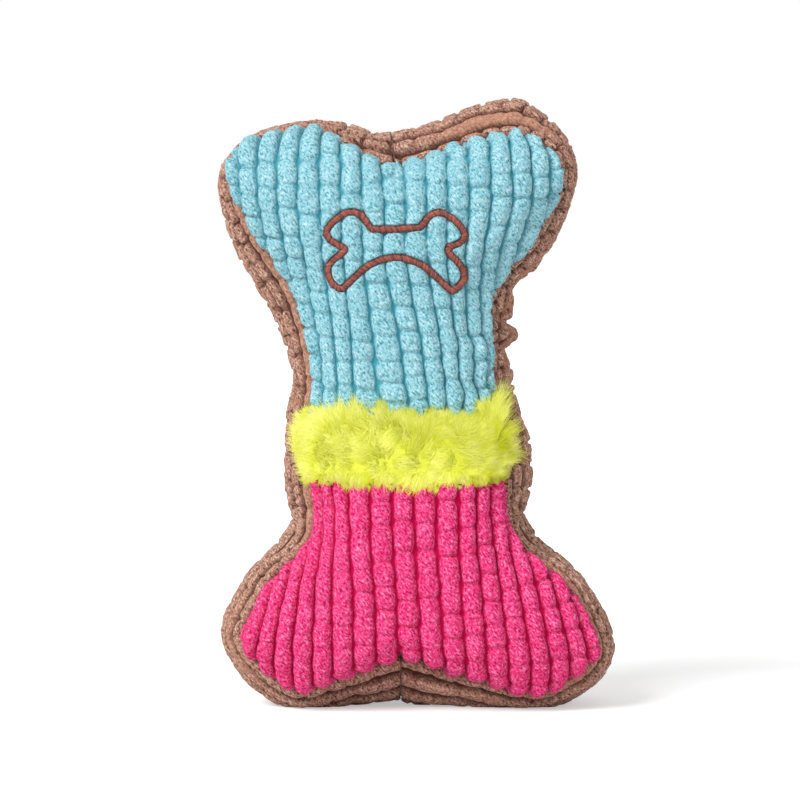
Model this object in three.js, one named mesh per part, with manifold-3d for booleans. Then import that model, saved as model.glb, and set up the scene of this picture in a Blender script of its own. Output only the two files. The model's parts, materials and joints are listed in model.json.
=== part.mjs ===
// Squeaky dog toy: a stuffed corduroy bone with a fur band, a gusset all round and a squeaker inside.
// Millimetres, +Z up. The face looks along -Y, and the toy stands on its two feet at z = 0.
import * as THREE from "three";
import { mergeVertices } from "three/addons/utils/BufferGeometryUtils.js";
import Module from "manifold-3d";

const wasm = await Module();
wasm.setup();

const { clamp, lerp } = THREE.MathUtils;

// Cloth, thread and the room between pieces
const FABRIC = 3;
const THREAD = 0.6;
const CLEARANCE = 0.3;
const FILLING_ROOM = 0.6;
const SEAM_GAP = THREAD + 2 * CLEARANCE;

// Pattern of the face: each point is [distance from the middle line, height]
const NOTCH = [-8, 191.3];
const ARCH = [-5, 1.7];
const CHEEK_UP = 177;
const BAND_TOP_UP = 98;
const BAND_BOTTOM_UP = 77;
const LOWER_WAIST_UP = 62;
const SOLE_CUT = 0.5;
const RIGHT = {
  crown: [32, 201.7],
  cheek: 53,
  waist: [31, 118],
  bandTop: 33.5,
  bandBottom: 38,
  lowerWaist: 37,
  foot: [65.5, 18],
  sole: 43,
  underside: [0.41, 0.39],
  flank: [0.93, 0.68],
};
const LEFT = {
  crown: [33, 195.5],
  cheek: 65.7,
  waist: [42, 111],
  bandTop: 43,
  bandBottom: 43.3,
  lowerWaist: 42.5,
  foot: [64.3, 22],
  sole: 42,
  underside: [0.16, 0.3],
  flank: [0.62, 0.6],
};
const EAR_CORNER = [0.77, 0.43];
const FOOT_SHOULDER = [0.6, 0.41];

// How far the gusset shows outside the face's seam, from each crown down to its sole
const NOTCH_EDGE = 11.5;
const ARCH_EDGE = 16.4;
const RIGHT_EDGES = [11.5, 7, 5.2, 5.5, 7.2, 6, 7, 9, 5.8, 5, 6, 6.8];
const LEFT_EDGES = [3.5, 1.8, 4.6, 8, 10.3, 8, 8, 8.5, 9, 7.5, 6.5, 8];

// Depth of the toy, from the gusset's width and the swell of the two faces
const GUSSET_WIDTH = 34;
const GUSSET_BULGE = 2.4;
const EAR_CROWN = 15;
const WAIST_CROWN = 11;
const BACK_CROWN = 17;
const FUR_PILE = 5;
const FUR_EDGE_SHARE = 0.6;
const ROW_ROUNDNESS = 2.4;
const MIDLINE_EASE = 1.8;

// Corduroy: each face's ribs run up and down, with a crest this far right of its middle line. They drift
// to the right going down, less so left of the middle, and fan out from the waist into the ears and feet.
const RIB_DEPTH = 1.8;
const RIB_REACH = 64;
const RIM_SHARE = 0.06;
const GUSSET_RIBS = 7;
const PRESSED_UP = [1, 9];
const UPPER_RIBS = {
  pitch: 7.05,
  crest: -0.8,
  drift: 7.6,
  driftUp: [158, 98],
  driftLeft: 0.65,
  driftRun: 12,
  fan: { left: 0.12, right: 0.3 },
  fanRun: 12,
  fanUp: [172, 128],
  depth: RIB_DEPTH,
};
const LOWER_RIBS = {
  pitch: 7.3,
  crest: 1.35,
  drift: 1.9,
  driftUp: [71, 17],
  driftLeft: 1,
  driftRun: 12,
  fan: { left: 0.5, right: 0.5 },
  fanRun: 20,
  fanUp: [22, 60],
  depth: RIB_DEPTH,
};
const BACK_RIBS = { ...LOWER_RIBS, pitch: 7.2, crest: 3.6, drift: 0, fan: { left: 0, right: 0 } };

// Embroidered bone: the middle of its satin stitch, going round from the upper left lobe
const SATIN_WIDTH = 2.6;
const SATIN_HEIGHT = 0.9;
const BONE_STITCH = [
  [-29.5, 158.1], [-21.2, 164.7], [-15.5, 159.4], [1.7, 160], [7.7, 164.7], [16.6, 157.9], [11.7, 152.8],
  [16.2, 144.7], [12.1, 138.5], [3.9, 146], [-6.4, 149.4], [-18.3, 145.5], [-25.5, 139.4], [-29.1, 146],
  [-24.2, 152.8],
];

// Squeaker: a round bulb squeezed from front to back, with its whistle in a neck at the back
const SQUEAKER_AT = [-7.5, 137];
const BULB_RADIUS = 21;
const BULB_HALF_DEPTH = 12;
const BULB_WALL = 1.2;
const NECK_BORE = 5;
const NECK_LENGTH = 3.6;
const WHISTLE_FLANGE = 8.5;
const FLANGE_THICKNESS = 1.2;
const PLUG_LENGTH = 7;
const AIR_BORE = 1.7;
const TROUGH_WALL = 1.1;
const TROUGH_LENGTH = 9;
const REED_THICKNESS = 0.3;
const REED_HALF_WIDTH = 2.4;
const REED_LIFT = 0.5;
const REED_LENGTH = 8;
const CLIP_LENGTH = 3;
const CLIP_WALL = 0.9;
const CLIP_LEG_DROP = 1.4;

// Counts of points
const STATION_STEPS = 3;
const ACROSS_STEPS = 8;
const GUSSET_STEPS = 7;
const RUN_STEPS = 40;
const THREAD_SIDES = 4;
const STITCH_POINTS = 60;
const ROUND_STEPS = 28;
const BULB_STEPS = 8;

const FABRIC_ROUGHNESS = 0.95;
const fabric = (color) => new THREE.MeshStandardMaterial({ color, roughness: FABRIC_ROUGHNESS, metalness: 0 });
const plastic = (color) => new THREE.MeshStandardMaterial({ color, roughness: 0.5, metalness: 0 });
const CYAN = fabric(0x86cfdc);
const PINK = fabric(0xf0357f);
const LIME = fabric(0xdde93a);
const BROWN = fabric(0x8a6048);
const RUST = fabric(0x8e4034);
const BROWN_THREAD = fabric(0x6f4a36);
const FIBRE = fabric(0xf2f0ea);
const CLEAR_PLASTIC = plastic(0xe8e8e4);
const WHITE_PLASTIC = plastic(0xf4f4f4);

const toy = new THREE.Group();

function addPiece(name, geometry, material) {
  const mesh = new THREE.Mesh(geometry, material);
  mesh.name = name;
  toy.add(mesh);
  return mesh;
}

// Closed meshes

function signedVolume(positions, index) {
  const corner = (i) => new THREE.Vector3().fromArray(positions, 3 * index[i]);
  let volume = 0;
  for (let t = 0; t < index.length; t += 3) {
    volume += corner(t).dot(corner(t + 1).cross(corner(t + 2))) / 6;
  }
  return volume;
}

// Welds the shared points, drops triangles that have closed up and turns the faces out
function closedGeometry(geometry) {
  geometry.deleteAttribute("normal");
  geometry.deleteAttribute("uv");
  const welded = mergeVertices(geometry, 1e-4);
  const positions = welded.attributes.position.array;
  const corners = welded.index.array;
  const kept = [];
  for (let t = 0; t < corners.length; t += 3) {
    const [a, b, c] = corners.slice(t, t + 3);
    if (a !== b && b !== c && c !== a) {
      kept.push(a, b, c);
    }
  }
  if (signedVolume(positions, kept) < 0) {
    kept.reverse();
  }
  welded.setIndex(kept);
  welded.computeVertexNormals();
  return welded;
}

// Triangles between two runs of points that start and end side by side, each on the shorter of two steps
function zip(points, first, second) {
  const triangles = [];
  let [i, j] = [0, 0];
  while (i < first.length - 1 || j < second.length - 1) {
    const along = i < first.length - 1 ? points[first[i + 1]].distanceTo(points[second[j]]) : Infinity;
    const beside = j < second.length - 1 ? points[first[i]].distanceTo(points[second[j + 1]]) : Infinity;
    if (along <= beside) {
      triangles.push([first[i], first[i + 1], second[j]]);
      i += 1;
    } else {
      triangles.push([first[i], second[j + 1], second[j]]);
      j += 1;
    }
  }
  return triangles;
}

// Joins rings of points, one after another, into a closed skin. An open run of rings is capped at its
// ends between the points along a ring's outside and those along its inside, unless that end closes up.
// Each four-cornered face folds along its shorter diagonal, so nested skins fold alike.
function skinOver(rings, { joined = false, outside = rings[0].length / 2, capFirst = !joined, capLast = !joined } = {}) {
  const count = rings[0].length;
  const points = rings.flat();
  const index = [];
  const quad = (a, b, c, d) => {
    const across = points[a].distanceTo(points[c]) <= points[b].distanceTo(points[d]);
    index.push(...(across ? [a, b, c, a, c, d] : [a, b, d, b, c, d]));
  };
  const bands = joined ? rings.length : rings.length - 1;
  for (let r = 0; r < bands; r += 1) {
    const near = r * count;
    const far = ((r + 1) % rings.length) * count;
    for (let j = 0; j < count; j += 1) {
      const next = (j + 1) % count;
      quad(near + j, near + next, far + next, far + j);
    }
  }
  const cap = (start) => {
    const places = Array.from({ length: count }, (_, j) => start + j);
    return zip(points, places.slice(0, outside), places.slice(outside).reverse());
  };
  if (capFirst) {
    index.push(...cap(0).flatMap(([a, b, c]) => [c, b, a]));
  }
  if (capLast) {
    index.push(...cap((rings.length - 1) * count).flat());
  }
  const geometry = new THREE.BufferGeometry().setFromPoints(points);
  geometry.setIndex(index);
  return closedGeometry(geometry);
}

function solidOf(geometry) {
  return new wasm.Manifold(
    new wasm.Mesh({
      numProp: 3,
      vertProperties: new Float32Array(geometry.attributes.position.array),
      triVerts: new Uint32Array(geometry.index.array),
    }),
  );
}

function geometryOf(solid) {
  const mesh = solid.getMesh();
  const geometry = new THREE.BufferGeometry();
  geometry.setAttribute("position", new THREE.BufferAttribute(new Float32Array(mesh.vertProperties), 3));
  geometry.setIndex([...mesh.triVerts]);
  geometry.computeVertexNormals();
  return geometry;
}

function cut(geometry, ...tools) {
  return geometryOf(tools.reduce((left, tool) => left.subtract(solidOf(tool)), solidOf(geometry)));
}

function join(geometry, ...others) {
  return geometryOf(others.reduce((whole, other) => whole.add(solidOf(other)), solidOf(geometry)));
}

function block(low, high) {
  const size = high.map((value, i) => value - low[i]);
  const geometry = new THREE.BoxGeometry(...size);
  geometry.translate(...low.map((value, i) => value + size[i] / 2));
  return closedGeometry(geometry);
}

// Outline of the toy and of its seams

const SIDE_STATIONS = [
  "crown", "corner", "cheek", "underside", "flank", "waist",
  "bandTop", "bandBottom", "lowerWaist", "shoulder", "foot", "sole",
];

function between(from, to, [across, up]) {
  return [lerp(from[0], to[0], across), lerp(from[1], to[1], up)];
}

function sideStations(side) {
  const cheek = [side.cheek, CHEEK_UP];
  const lowerWaist = [side.lowerWaist, LOWER_WAIST_UP];
  const points = {
    crown: side.crown,
    corner: between(side.crown, cheek, EAR_CORNER),
    cheek,
    underside: between(cheek, side.waist, side.underside),
    flank: between(cheek, side.waist, side.flank),
    waist: side.waist,
    bandTop: [side.bandTop, BAND_TOP_UP],
    bandBottom: [side.bandBottom, BAND_BOTTOM_UP],
    lowerWaist,
    shoulder: between(lowerWaist, side.foot, FOOT_SHOULDER),
    foot: side.foot,
    sole: [side.sole, -SOLE_CUT],
  };
  return SIDE_STATIONS.map((name) => points[name]);
}

const stations = [
  NOTCH,
  ...sideStations(RIGHT),
  ARCH,
  ...sideStations(LEFT).map(([x, z]) => [-x, z]).reverse(),
];
const edges = [NOTCH_EDGE, ...RIGHT_EDGES, ARCH_EDGE, ...[...LEFT_EDGES].reverse()];

// Row k joins sample k on the right to the same sample on the left
const SAMPLES = stations.length * STATION_STEPS;
const ROWS = SAMPLES / 2;
const rowOf = (name) => (SIDE_STATIONS.indexOf(name) + 1) * STATION_STEPS;
const BAND_TOP_ROW = rowOf("bandTop");
const BAND_BOTTOM_ROW = rowOf("bandBottom");

const outlineCurve = new THREE.CatmullRomCurve3(
  stations.map(([x, z]) => new THREE.Vector3(x, 0, z)),
  true,
  "centripetal",
);
const outline = Array.from({ length: SAMPLES }, (_, i) => outlineCurve.getPoint(i / SAMPLES));

// The outline runs clockwise as seen from the face, so the inside is on the right of its direction
function inset(loop, distanceAt) {
  return loop.map((point, i) => {
    const ahead = loop[(i + 1) % loop.length];
    const behind = loop[(i + loop.length - 1) % loop.length];
    const along = ahead.clone().sub(behind).normalize();
    const inward = new THREE.Vector3(along.z, 0, -along.x);
    return point.clone().addScaledVector(inward, distanceAt(i));
  });
}

function edgeAt(i) {
  const station = Math.floor(i / STATION_STEPS);
  const next = (station + 1) % edges.length;
  return lerp(edges[station], edges[next], (i % STATION_STEPS) / STATION_STEPS);
}

const seam = inset(outline, edgeAt);
const HALF_GUSSET = GUSSET_WIDTH / 2;
const FACE_BASE = HALF_GUSSET + SEAM_GAP;

// One layer of the cloth, sunk below the outside by a depth
function layerAt(depth) {
  return {
    depth,
    outline: inset(outline, () => depth),
    seam: inset(seam, () => depth),
  };
}

const OUTSIDE = layerAt(0);
const MIDDLE = layerAt(FABRIC / 2);
const INSIDE = layerAt(FABRIC);
const FILLING = layerAt(FABRIC + FILLING_ROOM);

// A point of the gusset at a sample, where share runs from -1 at the face's seam to 1 at the back seam
function gussetPoint(layer, sample, share) {
  const i = sample % SAMPLES;
  const point = layer.seam[i].clone().lerp(layer.outline[i], 1 - Math.abs(share) ** GUSSET_BULGE);
  point.y = share * HALF_GUSSET;
  return point;
}

const gussetShares = Array.from({ length: GUSSET_STEPS + 1 }, (_, i) => (2 * i) / GUSSET_STEPS - 1);
const rowShares = Array.from({ length: ACROSS_STEPS + 1 }, (_, i) => {
  return Math.sin((Math.PI / 2) * ((2 * i) / ACROSS_STEPS - 1));
});

// A point of the face's middle line: it eases away from the notch and the arch, and is level with the band
function midlinePoint(layer, row) {
  const [notch, arch] = [layer.seam[0], layer.seam[ROWS]];
  const below = (row - BAND_TOP_ROW) / (BAND_BOTTOM_ROW - BAND_TOP_ROW);
  let up = lerp(BAND_TOP_UP, BAND_BOTTOM_UP, below);
  if (below < 0) {
    up = lerp(notch.z, BAND_TOP_UP, (row / BAND_TOP_ROW) ** MIDLINE_EASE);
  } else if (below > 1) {
    up = lerp(arch.z, BAND_BOTTOM_UP, ((ROWS - row) / (ROWS - BAND_BOTTOM_ROW)) ** MIDLINE_EASE);
  }
  return new THREE.Vector3(lerp(notch.x, arch.x, row / ROWS), 0, up);
}

// Height of a face over its seam along the middle line: full at the lobes and lower at the waist
function crownAt(row, lobe, waist) {
  const along = row / ROWS;
  const ends = Math.sqrt(1 - Math.abs(2 * along - 1) ** 4);
  return lerp(lobe, waist, Math.sin(Math.PI * along) ** 6) * ends;
}

// A point of a face: row runs from the notch to the arch, share from -1 at the left seam to 1 at the right
function facePoint(layer, row, share, facing, height) {
  const point = midlinePoint(layer, row);
  const edge = share < 0 ? layer.seam[(SAMPLES - row) % SAMPLES] : layer.seam[row];
  point.lerp(edge, Math.abs(share));
  const swell = Math.sqrt(Math.max(0, 1 - Math.abs(share) ** ROW_ROUNDNESS));
  point.y = facing * (FACE_BASE + height * swell);
  return point;
}

function frontPoint(layer, row, share, pile = 0) {
  const height = crownAt(row, EAR_CROWN - layer.depth, WAIST_CROWN - layer.depth);
  return facePoint(layer, row, share, -1, height + pile);
}

function backPoint(layer, row, share) {
  const height = crownAt(row, BACK_CROWN - layer.depth, WAIST_CROWN - layer.depth);
  return facePoint(layer, row, share, 1, height);
}

// Rises smoothly from 0 at one value to 1 at another, which may be the lower one
function ease(value, from, to) {
  const share = clamp((value - from) / (to - from), 0, 1);
  return share * share * (3 - 2 * share);
}

// Value of y where x reaches a place, between points that rise in x, and held at both ends
function lookUp(xs, ys, x) {
  const i = xs.findIndex((value) => value >= x);
  if (i <= 0) {
    return i < 0 ? ys[ys.length - 1] : ys[0];
  }
  return lerp(ys[i - 1], ys[i], (x - xs[i - 1]) / (xs[i] - xs[i - 1]));
}

// Points of a curve of shares from -1 to 1, with the run of cloth up to each of them
function clothRun(curve) {
  const shares = Array.from({ length: RUN_STEPS + 1 }, (_, i) => (2 * i) / RUN_STEPS - 1);
  const points = shares.map(curve);
  const runs = [0];
  for (let i = 1; i < points.length; i += 1) {
    runs.push(runs[i - 1] + points[i].distanceTo(points[i - 1]));
  }
  return { shares, points, runs };
}

// Place of a point across the ribs: its run from the middle line, set right by their drift and their fan
function ribPlace(run, up, ribs) {
  const hang = lerp(1, ribs.driftLeft, ease(-run, 0, ribs.driftRun));
  const drift = ribs.drift * hang * ease(up, ...ribs.driftUp);
  const fan = run < 0 ? -ribs.fan.left : ribs.fan.right;
  return run - drift + fan * Math.max(0, Math.abs(run) - ribs.fanRun) * ease(up, ...ribs.fanUp);
}

// Shares of a row where its crests and its grooves lie, one after another, held at the seam where a rib ends
function ribShares(surface, row, ribs) {
  const { shares, points } = clothRun((share) => surface(OUTSIDE, row, share));
  const { runs } = clothRun((share) => surface(OUTSIDE, row, share).setZ(0));
  const middle = lookUp(shares, runs, 0);
  const places = runs.map((run, i) => ribPlace(run - middle, points[i].z, ribs));
  const half = ribs.pitch / 2;
  const first = -Math.ceil((RIB_REACH + ribs.crest) / half);
  const last = Math.ceil((RIB_REACH - ribs.crest) / half);
  const lines = Array.from({ length: last - first + 1 }, (_, i) => {
    const step = first + i;
    return { share: lookUp(places, shares, ribs.crest + step * half), groove: step % 2 !== 0 };
  });
  return [{ share: -1, groove: false }, ...lines, { share: 1, groove: false }];
}

// A point of a row's outside, sunk into the cloth in a groove, which runs out at the seam
function ribPoint(surface, row, { share, groove }, ribs) {
  const point = surface(OUTSIDE, row, share);
  const rim = ease(1 - Math.abs(share), 0, RIM_SHARE);
  return groove ? point.lerp(surface(INSIDE, row, share), (rim * ribs.depth) / FABRIC) : point;
}

// A panel of a face from one row to another, drawn back from its sewn ends by half the seam's gap
function panel(surface, firstRow, lastRow, outsideAt) {
  const rings = [];
  for (let row = firstRow; row <= lastRow; row += 1) {
    const inner = rowShares.map((share) => surface(INSIDE, row, share)).reverse();
    const ring = [...outsideAt(row), ...inner];
    const lower = row === firstRow && row > 0 ? -SEAM_GAP / 2 : 0;
    const raise = row === lastRow && row < ROWS ? SEAM_GAP / 2 : 0;
    ring.forEach((point) => {
      point.z += lower + raise;
    });
    rings.push(ring);
  }
  return skinOver(rings, { outside: rings[0].length - rowShares.length });
}

function ribbedPanel(surface, firstRow, lastRow, ribs) {
  return panel(surface, firstRow, lastRow, (row) => {
    return ribShares(surface, row, ribs).map((line) => ribPoint(surface, row, line, ribs));
  });
}

function furPile(row) {
  const inside = row > BAND_TOP_ROW && row < BAND_BOTTOM_ROW;
  return inside ? FUR_PILE : FUR_PILE * FUR_EDGE_SHARE;
}

function furOutside(row) {
  return rowShares.map((share) => frontPoint(OUTSIDE, row, share, furPile(row)));
}

addPiece("upper_front_panel", ribbedPanel(frontPoint, 0, BAND_TOP_ROW, UPPER_RIBS), CYAN);
addPiece("fur_band", panel(frontPoint, BAND_TOP_ROW, BAND_BOTTOM_ROW, furOutside), LIME);
addPiece("lower_front_panel", ribbedPanel(frontPoint, BAND_BOTTOM_ROW, ROWS, LOWER_RIBS), PINK);
addPiece("back_panel", ribbedPanel(backPoint, 0, ROWS, BACK_RIBS), BROWN);

// Gusset: two strips that meet at the notch and at the arch, flat where the toy stands

// Points across a strip: crests and grooves share out its cloth, and the ground presses the grooves flat
function gussetOutside(sample) {
  const { shares, runs } = clothRun((share) => gussetPoint(OUTSIDE, sample, share));
  const width = runs[RUN_STEPS];
  return Array.from({ length: 2 * GUSSET_RIBS + 1 }, (_, i) => {
    const share = lookUp(runs, shares, (width * i) / (2 * GUSSET_RIBS));
    const point = gussetPoint(OUTSIDE, sample, share);
    const groove = i % 2 === 0 && Math.abs(share) < 1;
    const sink = (ease(point.z, ...PRESSED_UP) * RIB_DEPTH) / FABRIC;
    return groove ? point.lerp(gussetPoint(INSIDE, sample, share), sink) : point;
  });
}

function gusset(firstSample, lastSample, towards) {
  const rings = [];
  for (let sample = firstSample; sample <= lastSample; sample += 1) {
    const inner = gussetShares.map((share) => gussetPoint(INSIDE, sample, share)).reverse();
    const ring = [...gussetOutside(sample), ...inner];
    const sewn = sample === firstSample || sample === lastSample;
    ring.forEach((point) => {
      point.x += sewn ? (towards * SEAM_GAP) / 2 : 0;
    });
    rings.push(ring);
  }
  const strip = skinOver(rings, { outside: rings[0].length - gussetShares.length });
  return geometryOf(solidOf(strip).trimByPlane([0, 0, 1], 0));
}

addPiece("right_gusset", gusset(0, ROWS, 1), BROWN);
addPiece("left_gusset", gusset(ROWS, SAMPLES, -1), BROWN);

// Threads of the seams

// A thread along points that all keep clear of one straight direction, which sets its section
function thread(points, steady, joined) {
  const rings = points.map((point, i) => {
    const last = points.length - 1;
    const ahead = points[joined ? (i + 1) % points.length : Math.min(i + 1, last)];
    const behind = points[joined ? (i + last) % points.length : Math.max(i - 1, 0)];
    const sideways = ahead.clone().sub(behind).cross(steady).normalize();
    return Array.from({ length: THREAD_SIDES }, (_, k) => {
      const turn = (2 * Math.PI * k) / THREAD_SIDES;
      return point
        .clone()
        .addScaledVector(steady, (Math.cos(turn) * THREAD) / 2)
        .addScaledVector(sideways, (Math.sin(turn) * THREAD) / 2);
    });
  });
  return skinOver(rings, { joined });
}

const ACROSS = new THREE.Vector3(1, 0, 0);
const DEEP = new THREE.Vector3(0, 1, 0);
const UPWARD = new THREE.Vector3(0, 0, 1);
const SEAM_DEPTH = HALF_GUSSET + SEAM_GAP / 2;

function seamPoint(sample, facing) {
  const point = MIDDLE.seam[sample % SAMPLES].clone();
  point.y = facing * SEAM_DEPTH;
  return point;
}

function seamRun(first, count, facing) {
  return Array.from({ length: count + 1 }, (_, i) => seamPoint(first + i, facing));
}

// Leaves room for another thread at both ends of a run
function shortened(points) {
  const room = THREAD + CLEARANCE;
  const run = points.map((point) => point.clone());
  const last = run.length - 1;
  run[0].addScaledVector(run[1].clone().sub(run[0]).normalize(), room);
  run[last].addScaledVector(run[last - 1].clone().sub(run[last]).normalize(), room);
  return run;
}

function bandThread(row) {
  const points = rowShares.map((share) => frontPoint(MIDDLE, row, share));
  return thread(shortened(points), UPWARD, false);
}

function joinThread(sample) {
  const points = gussetShares.map((share) => gussetPoint(MIDDLE, sample, share));
  return thread(shortened(points), ACROSS, false);
}

// The hand-sewn closing lies in the back seam, along the left of the waist
const closingFirst = SAMPLES - rowOf("lowerWaist");
const closingCount = rowOf("lowerWaist") - rowOf("waist");
const faceSeam = seamRun(0, SAMPLES - 1, -1);
const backSeam = seamRun(closingFirst + closingCount, SAMPLES - closingCount, 1);
const closing = seamRun(closingFirst, closingCount, 1);
addPiece("front_seam_stitch", thread(faceSeam, DEEP, true), BROWN_THREAD);
addPiece("back_seam_stitch", thread(shortened(backSeam), DEEP, false), BROWN_THREAD);
addPiece("closing_stitch", thread(closing, DEEP, false), BROWN_THREAD);
addPiece("upper_band_stitch", bandThread(BAND_TOP_ROW), BROWN_THREAD);
addPiece("lower_band_stitch", bandThread(BAND_BOTTOM_ROW), BROWN_THREAD);
addPiece("notch_join_stitch", joinThread(0), BROWN_THREAD);
addPiece("arch_join_stitch", joinThread(ROWS), BROWN_THREAD);

// Embroidered bone, laid over the crests of the upper panel

const upperCrests = new THREE.Mesh(ribbedPanel(frontPoint, 0, BAND_TOP_ROW, { ...UPPER_RIBS, depth: 0 }));

function frontOf(mesh, x, z) {
  const ray = new THREE.Raycaster(new THREE.Vector3(x, -RIGHT.crown[1], z), DEEP);
  return ray.intersectObject(mesh)[0].point.y;
}

function boneStitch() {
  const path = new THREE.CatmullRomCurve3(
    BONE_STITCH.map(([x, z]) => new THREE.Vector3(x, 0, z)),
    true,
    "centripetal",
  );
  const rings = Array.from({ length: STITCH_POINTS }, (_, i) => {
    const at = i / STITCH_POINTS;
    const middle = path.getPointAt(at);
    const sideways = path.getTangentAt(at).cross(DEEP).normalize();
    const rail = (offset, height) => {
      const point = middle.clone().addScaledVector(sideways, offset * SATIN_WIDTH);
      point.y = frontOf(upperCrests, point.x, point.z) - CLEARANCE - height;
      return point;
    };
    return [
      rail(-0.5, 0),
      rail(-0.35, 0.7 * SATIN_HEIGHT),
      rail(0, SATIN_HEIGHT),
      rail(0.35, 0.7 * SATIN_HEIGHT),
      rail(0.5, 0),
    ];
  });
  return skinOver(rings, { joined: true });
}

addPiece("bone_embroidery", boneStitch(), RUST);

// Squeaker, made about its own axis and then set into the filling

function turned(profile) {
  const points = profile.map(([radius, y]) => new THREE.Vector2(radius, y));
  return closedGeometry(new THREE.LatheGeometry(points, ROUND_STEPS));
}

// Points of a bulb's profile from its front pole round to the given radius behind its widest part
function bulbArc(radius, halfDepth, endRadius) {
  const end = Math.PI - Math.asin(endRadius / radius);
  return Array.from({ length: BULB_STEPS + 1 }, (_, i) => {
    const turn = (end * i) / BULB_STEPS;
    return [radius * Math.sin(turn), -halfDepth * Math.cos(turn)];
  });
}

const NECK_RADIUS = NECK_BORE + BULB_WALL;
const NECK_END = BULB_HALF_DEPTH + NECK_LENGTH;
const FLANGE_BACK = NECK_END + CLEARANCE;
const WHISTLE_END = FLANGE_BACK + FLANGE_THICKNESS;
const PLUG_RADIUS = NECK_BORE - CLEARANCE;
const PLUG_FRONT = FLANGE_BACK - PLUG_LENGTH;
const TROUGH_RADIUS = AIR_BORE + TROUGH_WALL;
const TROUGH_FRONT = PLUG_FRONT - TROUGH_LENGTH;
const REED_BACK = PLUG_FRONT - CLEARANCE;
const REED_FRONT = REED_BACK - REED_LENGTH;
const REED_TOP = REED_LIFT + REED_THICKNESS;
const CLIP_FRONT = REED_BACK - CLIP_LENGTH;
const CLIP_INNER = TROUGH_RADIUS + CLEARANCE;
const CLIP_OUTER = CLIP_INNER + CLIP_WALL;
const CLIP_UNDER = REED_TOP + CLEARANCE;

function bulb() {
  const outer = bulbArc(BULB_RADIUS, BULB_HALF_DEPTH, NECK_RADIUS);
  const inner = bulbArc(BULB_RADIUS - BULB_WALL, BULB_HALF_DEPTH - BULB_WALL, NECK_BORE).reverse();
  return turned([...outer, [NECK_RADIUS, NECK_END], [NECK_BORE, NECK_END], ...inner]);
}

function whistle() {
  const body = turned([
    [0, TROUGH_FRONT],
    [TROUGH_RADIUS, TROUGH_FRONT],
    [TROUGH_RADIUS, PLUG_FRONT],
    [PLUG_RADIUS, PLUG_FRONT],
    [PLUG_RADIUS, FLANGE_BACK],
    [WHISTLE_FLANGE, FLANGE_BACK],
    [WHISTLE_FLANGE, WHISTLE_END],
    [0, WHISTLE_END],
  ]);
  const air = turned([
    [0, TROUGH_FRONT + TROUGH_WALL],
    [AIR_BORE, TROUGH_FRONT + TROUGH_WALL],
    [AIR_BORE, WHISTLE_END + 1],
    [0, WHISTLE_END + 1],
  ]);
  const upperHalf = block(
    [-PLUG_RADIUS, TROUGH_FRONT - 1, 0],
    [PLUG_RADIUS, PLUG_FRONT, PLUG_RADIUS],
  );
  return cut(body, air, upperHalf);
}

function reed() {
  return block([-REED_HALF_WIDTH, REED_FRONT, REED_LIFT], [REED_HALF_WIDTH, REED_BACK, REED_TOP]);
}

function reedClip() {
  const bridge = block([-CLIP_OUTER, CLIP_FRONT, CLIP_UNDER], [CLIP_OUTER, REED_BACK, CLIP_UNDER + CLIP_WALL]);
  const legs = [-1, 1].map((side) => {
    const near = side < 0 ? -CLIP_OUTER : CLIP_INNER;
    return block(
      [near, CLIP_FRONT, -CLIP_LEG_DROP],
      [near + CLIP_WALL, REED_BACK, CLIP_UNDER + CLIP_WALL],
    );
  });
  return join(bridge, ...legs);
}

function squeakerPocket() {
  const widest = bulbArc(BULB_RADIUS + CLEARANCE, BULB_HALF_DEPTH + CLEARANCE, WHISTLE_FLANGE + CLEARANCE);
  const end = WHISTLE_END + CLEARANCE;
  return turned([...widest, [WHISTLE_FLANGE + CLEARANCE, end], [0, end]]);
}

const atSqueaker = (geometry) => geometry.translate(SQUEAKER_AT[0], 0, SQUEAKER_AT[1]);
addPiece("squeaker_bulb", atSqueaker(bulb()), CLEAR_PLASTIC);
addPiece("squeaker_whistle", atSqueaker(whistle()), WHITE_PLASTIC);
addPiece("squeaker_reed", atSqueaker(reed()), CLEAR_PLASTIC);
addPiece("squeaker_reed_clip", atSqueaker(reedClip()), WHITE_PLASTIC);

// Fibre filling in three wads, packed round the squeaker

function wad(firstRow, lastRow) {
  const half = gussetShares.length / 2;
  const rings = [];
  for (let row = firstRow; row <= lastRow; row += 1) {
    const right = gussetShares.map((share) => gussetPoint(FILLING, row, share));
    const left = gussetShares.map((share) => gussetPoint(FILLING, SAMPLES - row, share));
    const front = rowShares.map((share) => frontPoint(FILLING, row, share));
    const back = rowShares.map((share) => backPoint(FILLING, row, share));
    const ring = [
      ...left.slice(0, half).reverse(),
      ...front,
      ...right,
      ...back.reverse(),
      ...left.slice(half).reverse(),
    ];
    const lower = row === firstRow && row > 0 ? -CLEARANCE / 2 : 0;
    const raise = row === lastRow && row < ROWS ? CLEARANCE / 2 : 0;
    ring.forEach((point) => {
      point.z += lower + raise;
    });
    rings.push(ring);
  }
  return skinOver(rings, { capFirst: firstRow > 0, capLast: lastRow < ROWS });
}

const upperCut = rowOf("flank");
const lowerCut = rowOf("lowerWaist");
const pocket = atSqueaker(squeakerPocket());
addPiece("upper_filling", cut(wad(0, upperCut), pocket), FIBRE);
addPiece("middle_filling", cut(wad(upperCut, lowerCut), pocket), FIBRE);
addPiece("lower_filling", wad(lowerCut, ROWS), FIBRE);

export default toy;
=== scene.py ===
"""Looks of a stuffed bone dog toy: corduroy panels, gusset, fur band, embroidery, seams and squeaker.

Sizes are in millimetres and are turned into metres when a mesh is made. The face looks along -Y.
"""

from __future__ import annotations

import json
import logging
import math
from dataclasses import dataclass, field, replace
from enum import Enum

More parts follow.
